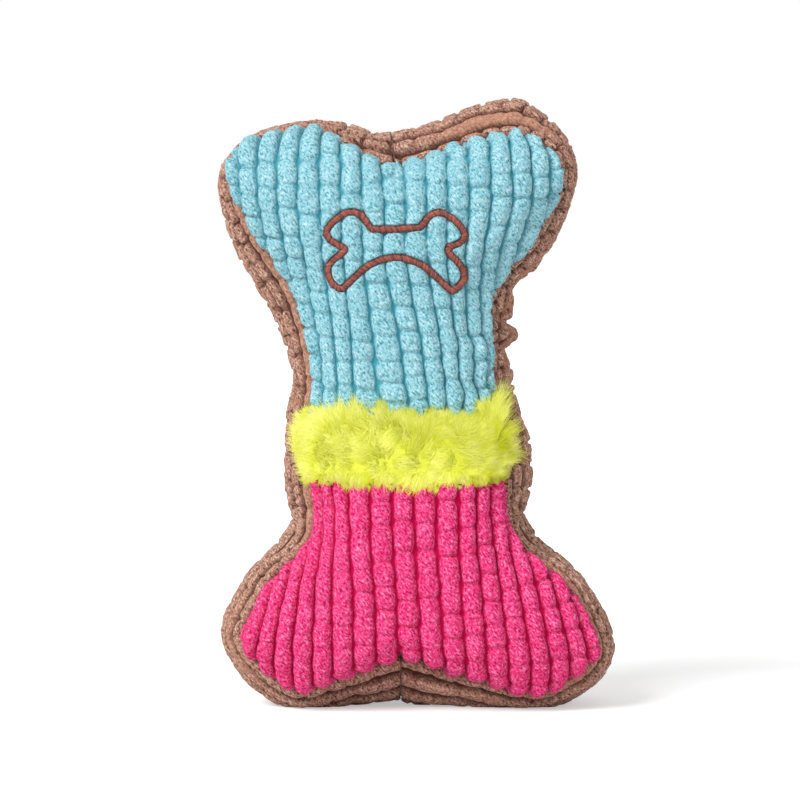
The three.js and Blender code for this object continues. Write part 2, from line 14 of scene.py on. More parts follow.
import bmesh
import bpy
import numpy as np
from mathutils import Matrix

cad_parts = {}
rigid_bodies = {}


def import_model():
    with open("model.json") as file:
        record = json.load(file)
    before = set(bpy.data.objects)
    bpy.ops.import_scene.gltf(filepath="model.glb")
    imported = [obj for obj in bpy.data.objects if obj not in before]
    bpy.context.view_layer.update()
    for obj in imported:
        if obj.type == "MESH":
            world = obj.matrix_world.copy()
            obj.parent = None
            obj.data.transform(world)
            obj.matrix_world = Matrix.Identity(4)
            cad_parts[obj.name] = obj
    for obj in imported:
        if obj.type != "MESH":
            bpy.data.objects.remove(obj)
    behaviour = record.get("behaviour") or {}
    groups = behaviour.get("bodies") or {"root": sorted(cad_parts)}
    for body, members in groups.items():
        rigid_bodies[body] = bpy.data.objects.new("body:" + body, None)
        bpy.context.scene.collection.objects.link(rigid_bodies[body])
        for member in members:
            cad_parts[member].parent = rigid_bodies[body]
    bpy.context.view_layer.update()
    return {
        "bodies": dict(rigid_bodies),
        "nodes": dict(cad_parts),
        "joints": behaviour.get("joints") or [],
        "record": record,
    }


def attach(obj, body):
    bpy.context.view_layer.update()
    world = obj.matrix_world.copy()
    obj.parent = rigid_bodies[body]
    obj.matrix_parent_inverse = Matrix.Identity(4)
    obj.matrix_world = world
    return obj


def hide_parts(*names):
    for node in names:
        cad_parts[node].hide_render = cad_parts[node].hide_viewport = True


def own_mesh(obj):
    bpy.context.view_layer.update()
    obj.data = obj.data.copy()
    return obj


LOG = logging.getLogger("bone_toy")
MM = 0.001
TINY = 1e-9
Array = np.ndarray
Pair = tuple[float, float]
Triple = tuple[float, float, float]
Colour = tuple[float, float, float, float]
Socket = bpy.types.NodeSocket
Material = bpy.types.Material
Piece = bpy.types.Object
WHITE: Colour = (1.0, 1.0, 1.0, 1.0)


class Body(Enum):
    """The rigid bodies that the soft pieces ride on."""

    STUFFED = "body"
    FRONT_COVER = "front_cover"


class Facing(Enum):
    """Which way a face of the toy looks along Y."""

    FRONT = -1.0
    BACK = 1.0


# Small tools for numbers


def smooth_step(value: Array, low: float, high: float) -> Array:
    """Rises from 0 at low to 1 at high, which may be under low, along a cubic level at both ends."""
    share = np.clip((value - low) / (high - low), 0.0, 1.0)
    return share * share * (3.0 - 2.0 * share)


def stretch(value: Array, first: float, last: float, ease: float) -> Array:
    """Is 1 from first to last and 0 outside them, eased over a distance on both sides of each."""
    rise = smooth_step(value, first - ease, first + ease)
    return rise * smooth_step(value, last + ease, last - ease)


def dome(place: Array, roundness: float) -> Array:
    """Height of a round back over places from -1 to 1: the root of 1 less a power of the place."""
    return np.sqrt(np.maximum(0.0, 1.0 - np.abs(place) ** roundness))


def crowd(even: Array, pull: float = 1.0) -> Array:
    """Draws places from -1 to 1 towards both ends as a sine does, by a share of the way."""
    return (1.0 - pull) * even + pull * np.sin(np.pi / 2.0 * even)


def columns_of(count: int) -> Array:
    """A row of even places from -1 to 1."""
    return np.linspace(-1.0, 1.0, count)[None, :]


def unit(vectors: Array) -> Array:
    """Vectors brought to a length of 1."""
    return vectors / np.maximum(np.linalg.norm(vectors, axis=-1, keepdims=True), TINY)


def hash_unit(*keys: Array | float) -> Array:
    """Repeatable numbers from 0 to 1 for whole keys: the fraction of a large multiple of a mixed sine.

    Args:
        keys: up to three arrays of whole numbers, or single ones.

    Returns:
        One number for each set of keys.
    """
    weights = (12.9898, 78.233, 37.719)
    mixed = sum(np.asarray(key, dtype=float) * weight for key, weight in zip(keys, weights))
    return np.modf(np.abs(np.sin(mixed) * 43758.5453))[0]


def soft_noise(points: Array, cell: float, seed: float) -> Array:
    """Smooth random field: values on the corners of a lattice, eased between a cell's eight corners.

    Args:
        points: places, with three numbers in the last axis.
        cell: size of a lattice cell.
        seed: shifts the lattice, so that two fields differ.

    Returns:
        Numbers from -1 to 1.
    """
    place = points / cell + seed
    base = np.floor(place)
    part = smooth_step(place - base, 0.0, 1.0)
    total = np.zeros(points.shape[:-1])
    for corner in np.ndindex(2, 2, 2):
        offset = np.array(corner)
        weight = np.prod(np.where(offset == 1, part, 1.0 - part), axis=-1)
        total += weight * hash_unit(*np.moveaxis(base + offset, -1, 0))
    return 2.0 * total - 1.0


def plane_noise(first: Array, second: Array, cell: float, seed: float) -> Array:
    """Smooth random field from -1 to 1 over two distances."""
    return soft_noise(np.stack([first, second, np.zeros_like(first)], axis=-1), cell, seed)


def layered_noise(points: Array, layers: tuple[Triple, ...], base: float = 0.0) -> Array:
    """Sum of a base and smooth random fields, each given by its share, its cell and its seed."""
    return sum((share * soft_noise(points, cell, seed) for share, cell, seed in layers), base)


# Small tools for paths and grids


def closed_spline(points: Array, steps: int) -> Array:
    """Closed centripetal Catmull-Rom curve: each span is a cubic with slopes from its neighbours.

    Args:
        points: corners of the curve, one row each.
        steps: points to make for each span.

    Returns:
        Points along the curve, starting at the first corner.
    """
    p0, p1, p2, p3 = (np.roll(points, shift, axis=0)[:, None, :] for shift in (1, 0, -1, -2))
    spans = ((p0, p1), (p1, p2), (p2, p3))
    d0, d1, d2 = (np.linalg.norm(b - a, axis=-1, keepdims=True) ** 0.5 for a, b in spans)
    leave = ((p1 - p0) / d0 - (p2 - p0) / (d0 + d1) + (p2 - p1) / d1) * d1
    reach = ((p2 - p1) / d1 - (p3 - p1) / (d1 + d2) + (p3 - p2) / d2) * d1
    t = (np.arange(steps) / steps)[None, :, None]
    curve = (
        p1 * (2 * t**3 - 3 * t**2 + 1)
        + leave * (t**3 - 2 * t**2 + t)
        + p2 * (3 * t**2 - 2 * t**3)
        + reach * (t**3 - t**2)
    )
    return curve.reshape(-1, points.shape[1])


def along_loop(loop: Array, place: Array, closed: bool = True) -> Array:
    """Points between the samples of a loop or run, on a cubic through the four nearest samples.

    Args:
        loop: samples, one row each.
        place: places along the loop, counted in samples.
        closed: whether the last sample is followed by the first.

    Returns:
        One point for each place.
    """
    base = np.floor(place).astype(int)
    t = (place - base)[..., None]
    near = [base + step for step in (-1, 0, 1, 2)]
    a, b, c, d = (loop[n % len(loop) if closed else np.clip(n, 0, len(loop) - 1)] for n in near)
    return b + 0.5 * t * (c - a + t * (2 * a - 5 * b + 4 * c - d + t * (3 * (b - c) + d - a)))


def inset_loop(loop: Array, distance: Array | float) -> Array:
    """Moves a clockwise loop inwards, to the right of its direction, by a distance at each sample.

    Args:
        loop: samples with x and z in each row.
        distance: one distance, or one for each sample.

    Returns:
        The moved samples.
    """
    along = unit(np.roll(loop, -1, axis=0) - np.roll(loop, 1, axis=0))
    inward = np.stack([along[:, 1], -along[:, 0]], axis=1)
    return loop + inward * np.reshape(distance, (-1, 1))


def run_along(path: Array) -> Array:
    """Length of a path, or of each row of a grid, from its start up to each of its points."""
    step = np.linalg.norm(np.diff(path, axis=-2), axis=-1)
    return np.insert(np.cumsum(step, axis=-1), 0, 0.0, axis=-1)


def whole(path: Array, closed: bool) -> Array:
    """A path with its first point again at the end if it is closed."""
    return np.vstack([path, path[:1]]) if closed else path


def even_steps(path: Array, count: int, closed: bool) -> Array:
    """Points at equal steps of length along a path.

    Args:
        path: corners of the path, one row each.
        count: points to make.
        closed: whether the path comes back to its start.

    Returns:
        The points, without a repeat of the first one on a closed path.
    """
    line = whole(path, closed)
    run = run_along(line)
    at = np.linspace(0.0, run[-1], count, endpoint=not closed)
    return np.stack([np.interp(at, run, line[:, k]) for k in range(line.shape[1])], axis=1)


def nearest(points: Array, line: Array) -> Array:
    """Distance from each point of a flat grid to the nearest point of a line, a row at a time."""
    return np.stack([np.sqrt(((row[:, None] - line) ** 2).sum(-1).min(1)) for row in points])


def grid_normals(grid: Array) -> Array:
    """Unit normals of a grid of points, from the cross product of its two directions."""
    return unit(np.cross(np.gradient(grid, axis=0), np.gradient(grid, axis=1)))


def outward(grid: Array, inside: Array) -> Array:
    """Unit normals of a grid, turned away from points inside the toy.

    Args:
        grid: points as (row, column, xyz).
        inside: one point, or one for each row.

    Returns:
        One normal for each point.
    """
    normal = grid_normals(grid)
    facing = np.einsum("...k,...k->...", normal, grid - inside)
    return normal * np.where(facing.mean() < 0.0, -1.0, 1.0)


def side_ways(ahead: Array, steady: Array) -> tuple[Array, Array]:
    """Directions aside of a path and up from it, where a steady direction is never along the path."""
    aside = unit(np.cross(ahead, steady))
    return aside, np.cross(aside, ahead)


# Meshes


def linked(name: str, data: bpy.types.ID) -> Piece:
    """Makes an object of a mesh, camera or lamp and links it into the scene.

    Args:
        name: name of the object.
        data: what it holds.

    Returns:
        The new object, at the origin.
    """
    thing = bpy.data.objects.new(name, data)
    bpy.context.scene.collection.objects.link(thing)
    return thing


def hang(piece: Piece, body: Body, node: str | None = None) -> Piece:
    """Says which solid a piece replaces and what it rides on, and logs its faces.

    Args:
        piece: the piece.
        body: the rigid body that carries it.
        node: the solid that it replaces, if any.

    Returns:
        The same piece.
    """
    if node is not None:
        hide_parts(node)
    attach(piece, body.value)
    LOG.info("%s: %d faces", piece.name, len(piece.data.polygons))
    return piece


@dataclass
class Skin:
    """A mesh in the making: points in millimetres, faces and one number for each point by name."""

    points: Array
    quads: Array
    triangles: Array
    marks: dict[str, Array] = field(default_factory=dict)

    def turned_out(self) -> Skin:
        """Turns every face round if the enclosed volume comes out negative.

        Returns:
            The same skin.
        """
        halves = np.vstack([self.quads[:, [0, 1, 2]], self.quads[:, [0, 2, 3]], self.triangles])
        a, b, c = (self.points[halves[:, k]] for k in range(3))
        if np.einsum("ij,ij->i", a, np.cross(b, c)).sum() < 0.0:
            self.quads = self.quads[:, ::-1]
            self.triangles = self.triangles[:, ::-1]
        return self

    def piece(self, name: str, material: Material) -> Piece:
        """Puts the skin into a smooth-shaded Blender object at the origin.

        Args:
            name: name of the piece.
            material: finish of the piece.

        Returns:
            The new object, linked into the scene.
        """
        mesh = bpy.data.meshes.new(name)
        faces = self.quads.tolist() + self.triangles.tolist()
        mesh.from_pydata((self.points * MM).tolist(), [], faces)
        for mark, values in self.marks.items():
            layer = mesh.attributes.new(mark, "FLOAT", "POINT")
            layer.data.foreach_set("value", values.astype(np.float32).ravel())
        mesh.polygons.foreach_set("use_smooth", np.ones(len(mesh.polygons), dtype=bool))
        mesh.materials.append(material)
        mesh.validate()
        return linked(name, mesh)


def ladder(outer: Array, inner: Array) -> Array:
    """Triangles between two runs of points, where each outer point looks to its nearest inner share.

    Args:
        outer: numbers of the points along the longer run.
        inner: numbers of the points along the shorter run, in the same direction.

    Returns:
        Triangles, one row each.
    """
    share = np.rint(np.linspace(0, len(inner) - 1, len(outer))).astype(int)
    near, far = inner[share[:-1]], inner[share[1:]]
    fan = np.stack([outer[:-1], outer[1:], near], axis=1)
    return np.vstack([fan, np.stack([outer[1:], far, near], axis=1)[near != far]])


def loft(rings: Array, outer_count: int, joined: bool = False) -> Skin:
    """Joins rings of points into a closed skin: the first points of a ring lie outside, the rest inside.

    Args:
        rings: points as (ring, place on the ring, xyz).
        outer_count: how many points of a ring run along the outside before it turns back.
        joined: whether the last ring meets the first, so that no end needs a cap.

    Returns:
        The skin with its faces pointing out.
    """
    total, count = rings.shape[:2]
    spans = np.arange(total if joined else total - 1)[:, None]
    near, far = spans * count, (spans + 1) % total * count
    place = np.arange(count)
    after = (place + 1) % count
    quads = np.stack([near + place, near + after, far + after, far + place], axis=-1).reshape(-1, 4)
    triangles = np.zeros((0, 3), dtype=int)
    if not joined:
        cap = ladder(np.arange(outer_count), np.arange(count - 1, outer_count - 1, -1))
        triangles = np.vstack([cap[:, ::-1], cap + (total - 1) * count])
    return Skin(rings.reshape(-1, 3), quads, triangles).turned_out()


def closed_shell(outer: Array, inner: Array, marks: dict[str, Array]) -> Skin:
    """Joins a fine outside and a plain inside, row by row, into one closed skin with its marks.

    Args:
        outer: points of the outside as (row, column, xyz).
        inner: points of the inside, with as many rows.
        marks: numbers for each point of the outside.

    Returns:
        The closed skin, with the marks carried on at 0 over the inside.
    """
    skin = loft(np.concatenate([outer, inner[:, ::-1]], axis=1), outer.shape[1])
    blank = np.zeros(inner.shape[:2])
    skin.marks = {name: np.concatenate([values, blank], axis=1).ravel() for name, values in marks.items()}
    return skin


def tubes(paths: Array, radius: Array, sides: int, steady: Array, flat: float = 1.0) -> Skin:
    """Threads: a ring of points about each path point, with a point at both ends.

    Args:
        paths: points as (thread, place along it, xyz).
        radius: radius at each place along a thread.
        sides: points in a ring.
        steady: a direction for each thread that its path never follows.
        flat: thickness along the steady direction, as a share of the width.

    Returns:
        The skin of all the threads, with marks for the place along each and its own shade.
    """
    threads, places = paths.shape[:2]
    aside, lift = side_ways(unit(np.gradient(paths, axis=1)), steady[:, None, :])
    turn = (2.0 * np.pi * np.arange(sides) / sides)[:, None]
    reach = np.broadcast_to(radius, (threads, places))[:, :, None, None]
    round_path = aside[:, :, None, :] * np.cos(turn) + flat * lift[:, :, None, :] * np.sin(turn)
    rings = paths[:, :, None, :] + reach * round_path
    block = np.concatenate([rings.reshape(threads, -1, 3), paths[:, :1], paths[:, -1:]], axis=1)
    size = places * sides + 2
    row = (np.arange(places - 1) * sides)[:, None]
    place = np.arange(sides)
    after = (place + 1) % sides
    wall = np.stack([row + place, row + after, row + sides + after, row + sides + place], axis=-1)
    end = (places - 1) * sides
    first_cap = np.stack([np.full(sides, size - 2), after, place], axis=1)
    last_cap = np.stack([np.full(sides, size - 1), end + place, end + after], axis=1)
    shift = (np.arange(threads) * size)[:, None, None]
    quads = (wall.reshape(1, -1, 4) + shift).reshape(-1, 4)
    triangles = (np.vstack([first_cap, last_cap])[None] + shift).reshape(-1, 3)
    skin = Skin(block.reshape(-1, 3), quads, triangles)
    along = np.repeat(np.linspace(0.0, 1.0, places), sides)
    skin.marks["tip"] = np.tile(np.concatenate([along, [0.0, 1.0]]), threads)
    skin.marks["strand"] = np.repeat(hash_unit(np.arange(threads), 1.0), size)
    return skin.turned_out()


# Finishes


def linear(red: int, green: int, blue: int) -> Colour:
    """Turns a screen colour from 0 to 255 into the linear colour that a shader takes."""
    share = np.array([red, green, blue]) / 255.0
    value = np.where(share <= 0.04045, share / 12.92, ((share + 0.055) / 1.055) ** 2.4)
    return (*value.tolist(), 1.0)


def dimmed(colour: Colour, share: float) -> Colour:
    """A darker tone of a colour."""
    return (*(share * part for part in colour[:3]), 1.0)


class NodeSheet:
    """The nodes of a material or world, added by Blender's names and linked as they are made."""

    def __init__(self, owner: Material | bpy.types.World) -> None:
        """Starts with no nodes."""
        owner.use_nodes = True
        self.tree = owner.node_tree
        self.tree.nodes.clear()

    def add(
        self, kind: str, inputs: dict[str | int, object] | None = None, **settings: object
    ) -> bpy.types.Node:
        """Adds a node.

        Args:
            kind: Blender's name for the node.
            inputs: values or sockets for the node's inputs.
            settings: the node's own properties.

        Returns:
            The new node.
        """
        node = self.tree.nodes.new(kind)
        for key, value in settings.items():
            setattr(node, key, value)
        for key, value in (inputs or {}).items():
            self.put(node, key, value)
        return node

    def put(self, node: bpy.types.Node, key: str | int, value: object) -> None:
        """Sets an input to a value or links a socket to it, and leaves it as it is for None.

        Args:
            node: the node.
            key: name or number of its input.
            value: what goes in.
        """
        if isinstance(value, Socket):
            self.tree.links.new(value, node.inputs[key])
        elif value is not None:
            node.inputs[key].default_value = value

    def maths(self, operation: str, *values: object) -> Socket:
        """Works out one number from others."""
        return self.add("ShaderNodeMath", dict(enumerate(values)), operation=operation).outputs[0]

    def spread(self, value: Socket, ramp: Pair = (0.0, 1.0), ends: Pair = (0.0, 1.0)) -> Socket:
        """Maps a number from the ramp's low and high to two ends, and holds it there outside the ramp."""
        limits = zip(("From Min", "From Max", "To Min", "To Max"), (*ramp, *ends))
        return self.add("ShaderNodeMapRange", {"Value": value, **dict(limits)}).outputs["Result"]

    def looked_at(self) -> Socket:
        """Gives 1 where the camera looks, also in a reflection or through a clear piece, and 0 for light.

        Returns:
            The number's socket.
        """
        path = self.add("ShaderNodeLightPath").outputs
        seen = self.maths("MAXIMUM", path["Is Camera Ray"], path["Is Glossy Ray"])
        return self.maths("MAXIMUM", seen, path["Is Transmission Ray"])


class FinishSheet(NodeSheet):
    """A material's nodes, which end in a Principled shader."""

    noise_range: Pair = (0.3, 0.7)

    def __init__(self, name: str) -> None:
        """Starts a material with an output and its shader."""
        self.material = bpy.data.materials.new(name)
        super().__init__(self.material)
        self.shader = self.add("ShaderNodeBsdfPrincipled")
        self.add("ShaderNodeOutputMaterial", {"Surface": self.shader.outputs["BSDF"]})

    def mark(self, name: str) -> Socket:
        """Reads a number that the mesh holds for each point."""
        return self.add("ShaderNodeAttribute", attribute_name=name).outputs["Fac"]

    def grain(
        self, scale: float, detail: float = 2.0, roughness: float = 0.5, slant: float = 0.0, draw: float = 1.0
    ) -> Socket:
        """Noise on the piece's own coordinates.

        Args:
            scale: grains for each metre.
            detail: how many finer layers there are.
            roughness: how strong these are.
            slant: angle in degrees that the grains lean over by, seen from the front.
            draw: how much longer than wide the grains are.

        Returns:
            The noise, about 0.5 on average and mostly within the noise range.
        """
        place = self.add("ShaderNodeTexCoord").outputs["Object"]
        if draw != 1.0:
            turn = (0.0, math.radians(slant), 0.0)
            turned = self.add("ShaderNodeMapping", {"Vector": place, "Rotation": turn}).outputs[0]
            shrink = (1.0, 1.0, 1.0 / draw)
            place = self.add("ShaderNodeMapping", {"Vector": turned, "Scale": shrink}).outputs[0]
        inputs = {"Vector": place, "Scale": scale, "Detail": detail, "Roughness": roughness}
        return self.add("ShaderNodeTexNoise", inputs).outputs["Fac"]

    def blend(self, share: Socket, first: Socket | Colour, second: Socket | Colour) -> Socket:
        """Mixes two colours by a share."""
        return self.add("ShaderNodeMix", {0: share, 6: first, 7: second}, data_type="RGBA").outputs[2]

    def bump(self, height: Socket, strength: float, distance: float, onto: Socket | None = None) -> Socket:
        """Turns a height, over a distance in metres, into a normal, on top of another if one is given."""
        inputs = {"Height": height, "Strength": strength, "Distance": distance, "Normal": onto}
        return self.add("ShaderNodeBump", inputs).outputs["Normal"]

    def finish(self, colour: Socket | Colour, normal: Socket | None = None, **fixed: object) -> Material:
        """Sets the shader's colour, normal and other sockets.

        Args:
            colour: colour or socket.
            normal: socket of the normal, if any.
            fixed: other inputs by name, with underscores for spaces.

        Returns:
            The material.
        """
        self.put(self.shader, "Base Color", colour)
        self.put(self.shader, "Normal", normal)
        for key, value in fixed.items():
            self.put(self.shader, key.replace("_", " ").title().replace("Ior", "IOR"), value)
        return self.material


@dataclass(frozen=True)
class CorduroyFinish:
    """Velvety pile: a deep colour down in the grooves, partly the cloth's own and partly painted shade,
    painted shade in pits and painted highlights on the tufts, speckled tufts on the kernels, worn smooth
    where bare.

    The ramps say between which values of the fleck noise a speckle sets in.
    """

    name: str
    tuft: Colour
    light: Colour
    painted_highlight: Colour
    # groove: the deeper colour laid on where the pile is low, in grooves and on the ribs' flanks: partly the
    # cloth's own deeper colour, partly painted shade
    groove: Colour
    bare: Colour | None = None
    sheen: float = 0.25
    tuft_scale: float = 1700.0
    fibre_scale: float = 4080.0
    patch_scale: float = 55.0
    slant: float = 40.0
    draw: float = 2.0
    shade: Pair = (0.06, 0.5)
    tuft_ramp: Pair = (0.38, 0.62)
    pit_shade_ramp: Pair = (0.34, 0.45)
    painted_highlight_ramp: Pair = (0.55, 0.68)
    bare_ramp: Pair = (0.3, 0.6)
    worn_share: float = 0.2
    tone_share: float = 0.25
    pit_shade_share: float = 0.9
    pit_shade_tone: float = 0.6
    painted_highlight_share: float = 0.8
    bare_share: float = 0.8

    def material(self) -> Material:
        """Lays tufts, worn patches, kernels' tones, painted shade in pits, painted highlights, painted shade
        in the grooves and bare stretches over each other.

        Returns:
            The material.
        """
        sheet = FinishSheet(self.name)
        pile = sheet.mark("pile")
        fleck = sheet.grain(self.tuft_scale, 3.0, 0.62, self.slant, self.draw)
        fibre = sheet.grain(self.fibre_scale)
        patch = sheet.grain(self.patch_scale)
        top = sheet.blend(sheet.spread(fleck, self.tuft_ramp), self.tuft, self.light)
        worn = sheet.blend(sheet.spread(patch, sheet.noise_range, (0.0, self.worn_share)), top, self.light)
        toned = sheet.blend(sheet.spread(sheet.mark("tone"), ends=(0.0, self.tone_share)), worn, self.tuft)
        # Painted shade between the tufts: a darker groove colour in the low flecks.
        pit_shade = sheet.spread(fleck, self.pit_shade_ramp, (self.pit_shade_share, 0.0))
        pit_shaded = sheet.blend(pit_shade, toned, dimmed(self.groove, self.pit_shade_tone))
        # Painted highlight: a pale colour on the highest flecks of the tufts.
        painted_highlight = sheet.spread(fleck, self.painted_highlight_ramp, (0.0, self.painted_highlight_share))
        tipped = sheet.blend(painted_highlight, pit_shaded, self.painted_highlight)
        # Painted shade, partly the cloth's own deeper colour: the groove colour where the pile mark is low.
        deep = sheet.blend(sheet.spread(pile, self.shade), self.groove, tipped)
        nap = sheet.spread(fleck, self.bare_ramp, (self.bare_share, 0.0))
        smooth = sheet.blend(nap, self.bare or self.tuft, self.tuft)
        return sheet.finish(
            sheet.blend(sheet.mark("bare"), deep, smooth),
            sheet.bump(fibre, 0.6, 0.0004, sheet.bump(fleck, 0.9, 0.001)),
            roughness=sheet.spread(fleck, sheet.noise_range, (0.95, 0.8)),
            sheen_weight=self.sheen,
            sheen_roughness=0.45,
            sheen_tint=self.light,
            specular_ior_level=0.15,
        )


@dataclass(frozen=True)
class FurFinish:
    """Long soft pile: full colour at the root, and at the tip from deep, a painted shade between the tufts,
    to pale on them.
    """

    name: str
    root: Colour
    # deep: painted shade for the tips of strands that lie between tufts
    deep: Colour
    tip: Colour
    root_share: float = 0.7

    def material(self) -> Material:
        """Blends from the root's colour to the strand's own along its length, which carries painted shade
        between the tufts.

        Returns:
            The material.
        """
        sheet = FinishSheet(self.name)
        end = sheet.blend(sheet.mark("strand"), self.deep, self.tip)
        return sheet.finish(
            sheet.blend(sheet.spread(sheet.mark("tip"), (0.0, self.root_share)), self.root, end),
            sheet.bump(sheet.grain(3000.0), 0.2, 0.0002),
            roughness=sheet.spread(sheet.grain(200.0), sheet.noise_range, (0.5, 0.65)),
            sheen_weight=0.3,
            sheen_roughness=0.4,
            sheen_tint=self.tip,
            specular_ior_level=0.25,
        )


@dataclass(frozen=True)
class ThreadFinish:
    """Twisted thread: fine fibres, each strand a shade of its own, with painted shade at a stitch's ends,
    where they sink into the pile.
    """

    name: str
    dark: Colour
    light: Colour
    roughness: float = 0.5
    # ends: how strong the painted shade is at a stitch's ends
    ends: float = 0.0
    end_shade_ramp: Pair = (0.14, 0.36)

    def material(self) -> Material:
        """Lays flecks over the strand's shade and paints shade on it with the distance from the thread's
        middle.

        Returns:
            The material.
        """
        sheet = FinishSheet(self.name)
        fleck = sheet.grain(2400.0, 3.0)
        mixed = sheet.blend(sheet.spread(sheet.mark("strand"), ends=(0.1, 0.9)), self.dark, self.light)
        flecked = sheet.blend(sheet.spread(fleck, (0.35, 0.65), (0.0, 0.4)), mixed, self.dark)
        # Painted shade towards both ends of a stitch, where it sinks into the pile.
        middle = sheet.maths("ABSOLUTE", sheet.maths("SUBTRACT", sheet.mark("tip"), 0.5))
        return sheet.finish(
            sheet.blend(sheet.spread(middle, self.end_shade_ramp, (0.0, self.ends)), flecked, dimmed(self.dark, 0.2)),
            sheet.bump(fleck, 0.35, 0.0002),
            roughness=sheet.spread(fleck, sheet.noise_range, (self.roughness - 0.08, self.roughness + 0.12)),
            sheen_weight=0.2,
            sheen_roughness=0.35,
        )


@dataclass(frozen=True)
class FibreFinish:
    """Loose polyester filling: white, cloudy and matt."""

    name: str
    light: Colour
    shade: Colour

    def material(self) -> Material:
        """Blends two whites in clouds.

        Returns:
            The material.
        """
        sheet = FinishSheet(self.name)
        cloud = sheet.grain(160.0, 5.0, 0.65)
        colour = sheet.blend(sheet.spread(cloud, (0.35, 0.65)), self.shade, self.light)
        return sheet.finish(colour, sheet.bump(cloud, 0.6, 0.002), roughness=0.95, sheen_weight=0.3)


@dataclass(frozen=True)
class PlasticFinish:
    """Moulded plastic: even colour with a faint cloudiness and a fine moulded grain."""

    name: str
    light: Colour
    shade: Colour
    roughness: float = 0.35
    through: float = 0.0

    def material(self) -> Material:
        """Blends two tones in clouds, which also change the gloss a little.

        Returns:
            The material.
        """
        sheet = FinishSheet(self.name)
        cloud = sheet.grain(90.0, 3.0)
        return sheet.finish(
            sheet.blend(sheet.spread(cloud, sheet.noise_range), self.shade, self.light),
            sheet.bump(sheet.grain(1500.0), 0.1, 0.0001),
            roughness=sheet.spread(cloud, sheet.noise_range, (self.roughness, self.roughness + 0.1)),
            transmission_weight=self.through,
        )


CYAN = CorduroyFinish(
    name="cyan_corduroy",
    tuft=linear(118, 192, 206),
    light=linear(180, 228, 239),
    painted_highlight=linear(224, 245, 250),
    groove=linear(80, 172, 188),
)
PINK = CorduroyFinish(
    name="pink_corduroy",
    tuft=linear(236, 26, 106),
    light=linear(253, 94, 158),
    painted_highlight=linear(255, 168, 206),
    groove=linear(206, 2, 80),
)
# The brown's wide shade ramp carries the painted groove shade far up the flanks of each rib.
BROWN = CorduroyFinish(
    name="brown_corduroy",
    tuft=linear(156, 108, 90),
    light=linear(216, 168, 146),
    painted_highlight=linear(250, 224, 208),
    groove=linear(88, 52, 43),
    bare=linear(206, 150, 123),
    sheen=0.15,
    shade=(0.04, 0.8),
)
LIME = FurFinish("lime_fur", linear(208, 214, 26), linear(216, 218, 36), linear(243, 243, 138))
# The rust satin's stitch ends get painted shade; the sewing thread's get none.
RUST = ThreadFinish("rust_satin", linear(74, 28, 22), linear(198, 104, 86), 0.42, 0.9)
BROWN_THREAD = ThreadFinish("brown_sewing_thread", linear(84, 56, 44), linear(126, 88, 70))
FILLING = FibreFinish("fibre_filling", linear(246, 245, 241), linear(222, 220, 214))
BULB = PlasticFinish("bulb_plastic", linear(236, 236, 230), linear(220, 222, 218), 0.3, 0.25)
WHISTLE = PlasticFinish("whistle_plastic", linear(244, 244, 242), linear(226, 226, 224), 0.4)
REED_FILM = PlasticFinish("reed_film", linear(232, 234, 232), linear(214, 218, 216), 0.2, 0.3)


# Pattern of the toy


@dataclass(frozen=True)
class SidePattern:
    """One side's outline from its ear down to its foot, and how far the gusset shows outside the seam."""

    crown: Pair
    cheek: float
    waist: Pair
    band_top: float
    band_bottom: float
    lower_waist: float
    foot: Pair
    sole: float
    underside: Pair
    flank: Pair
    edges: tuple[float, ...]


RIGHT = SidePattern(
    crown=(32.0, 201.7),
    cheek=53.0,
    waist=(31.0, 118.0),
    band_top=33.5,
    band_bottom=38.0,
    lower_waist=37.0,
    foot=(65.5, 18.0),
    sole=43.0,
    underside=(0.41, 0.39),
    flank=(0.93, 0.68),
    edges=(11.5, 7.0, 5.2, 5.5, 7.2, 6.0, 7.0, 9.0, 5.8, 5.0, 6.0, 6.8),
)
LEFT = SidePattern(
    crown=(33.0, 195.5),
    cheek=65.7,
    waist=(42.0, 111.0),
    band_top=43.0,
    band_bottom=43.3,
    lower_waist=42.5,
    foot=(64.3, 22.0),
    sole=42.0,
    underside=(0.16, 0.3),
    flank=(0.62, 0.6),
    edges=(3.5, 1.8, 4.6, 8.0, 10.3, 8.0, 8.0, 8.5, 9.0, 7.5, 6.5, 8.0),
)


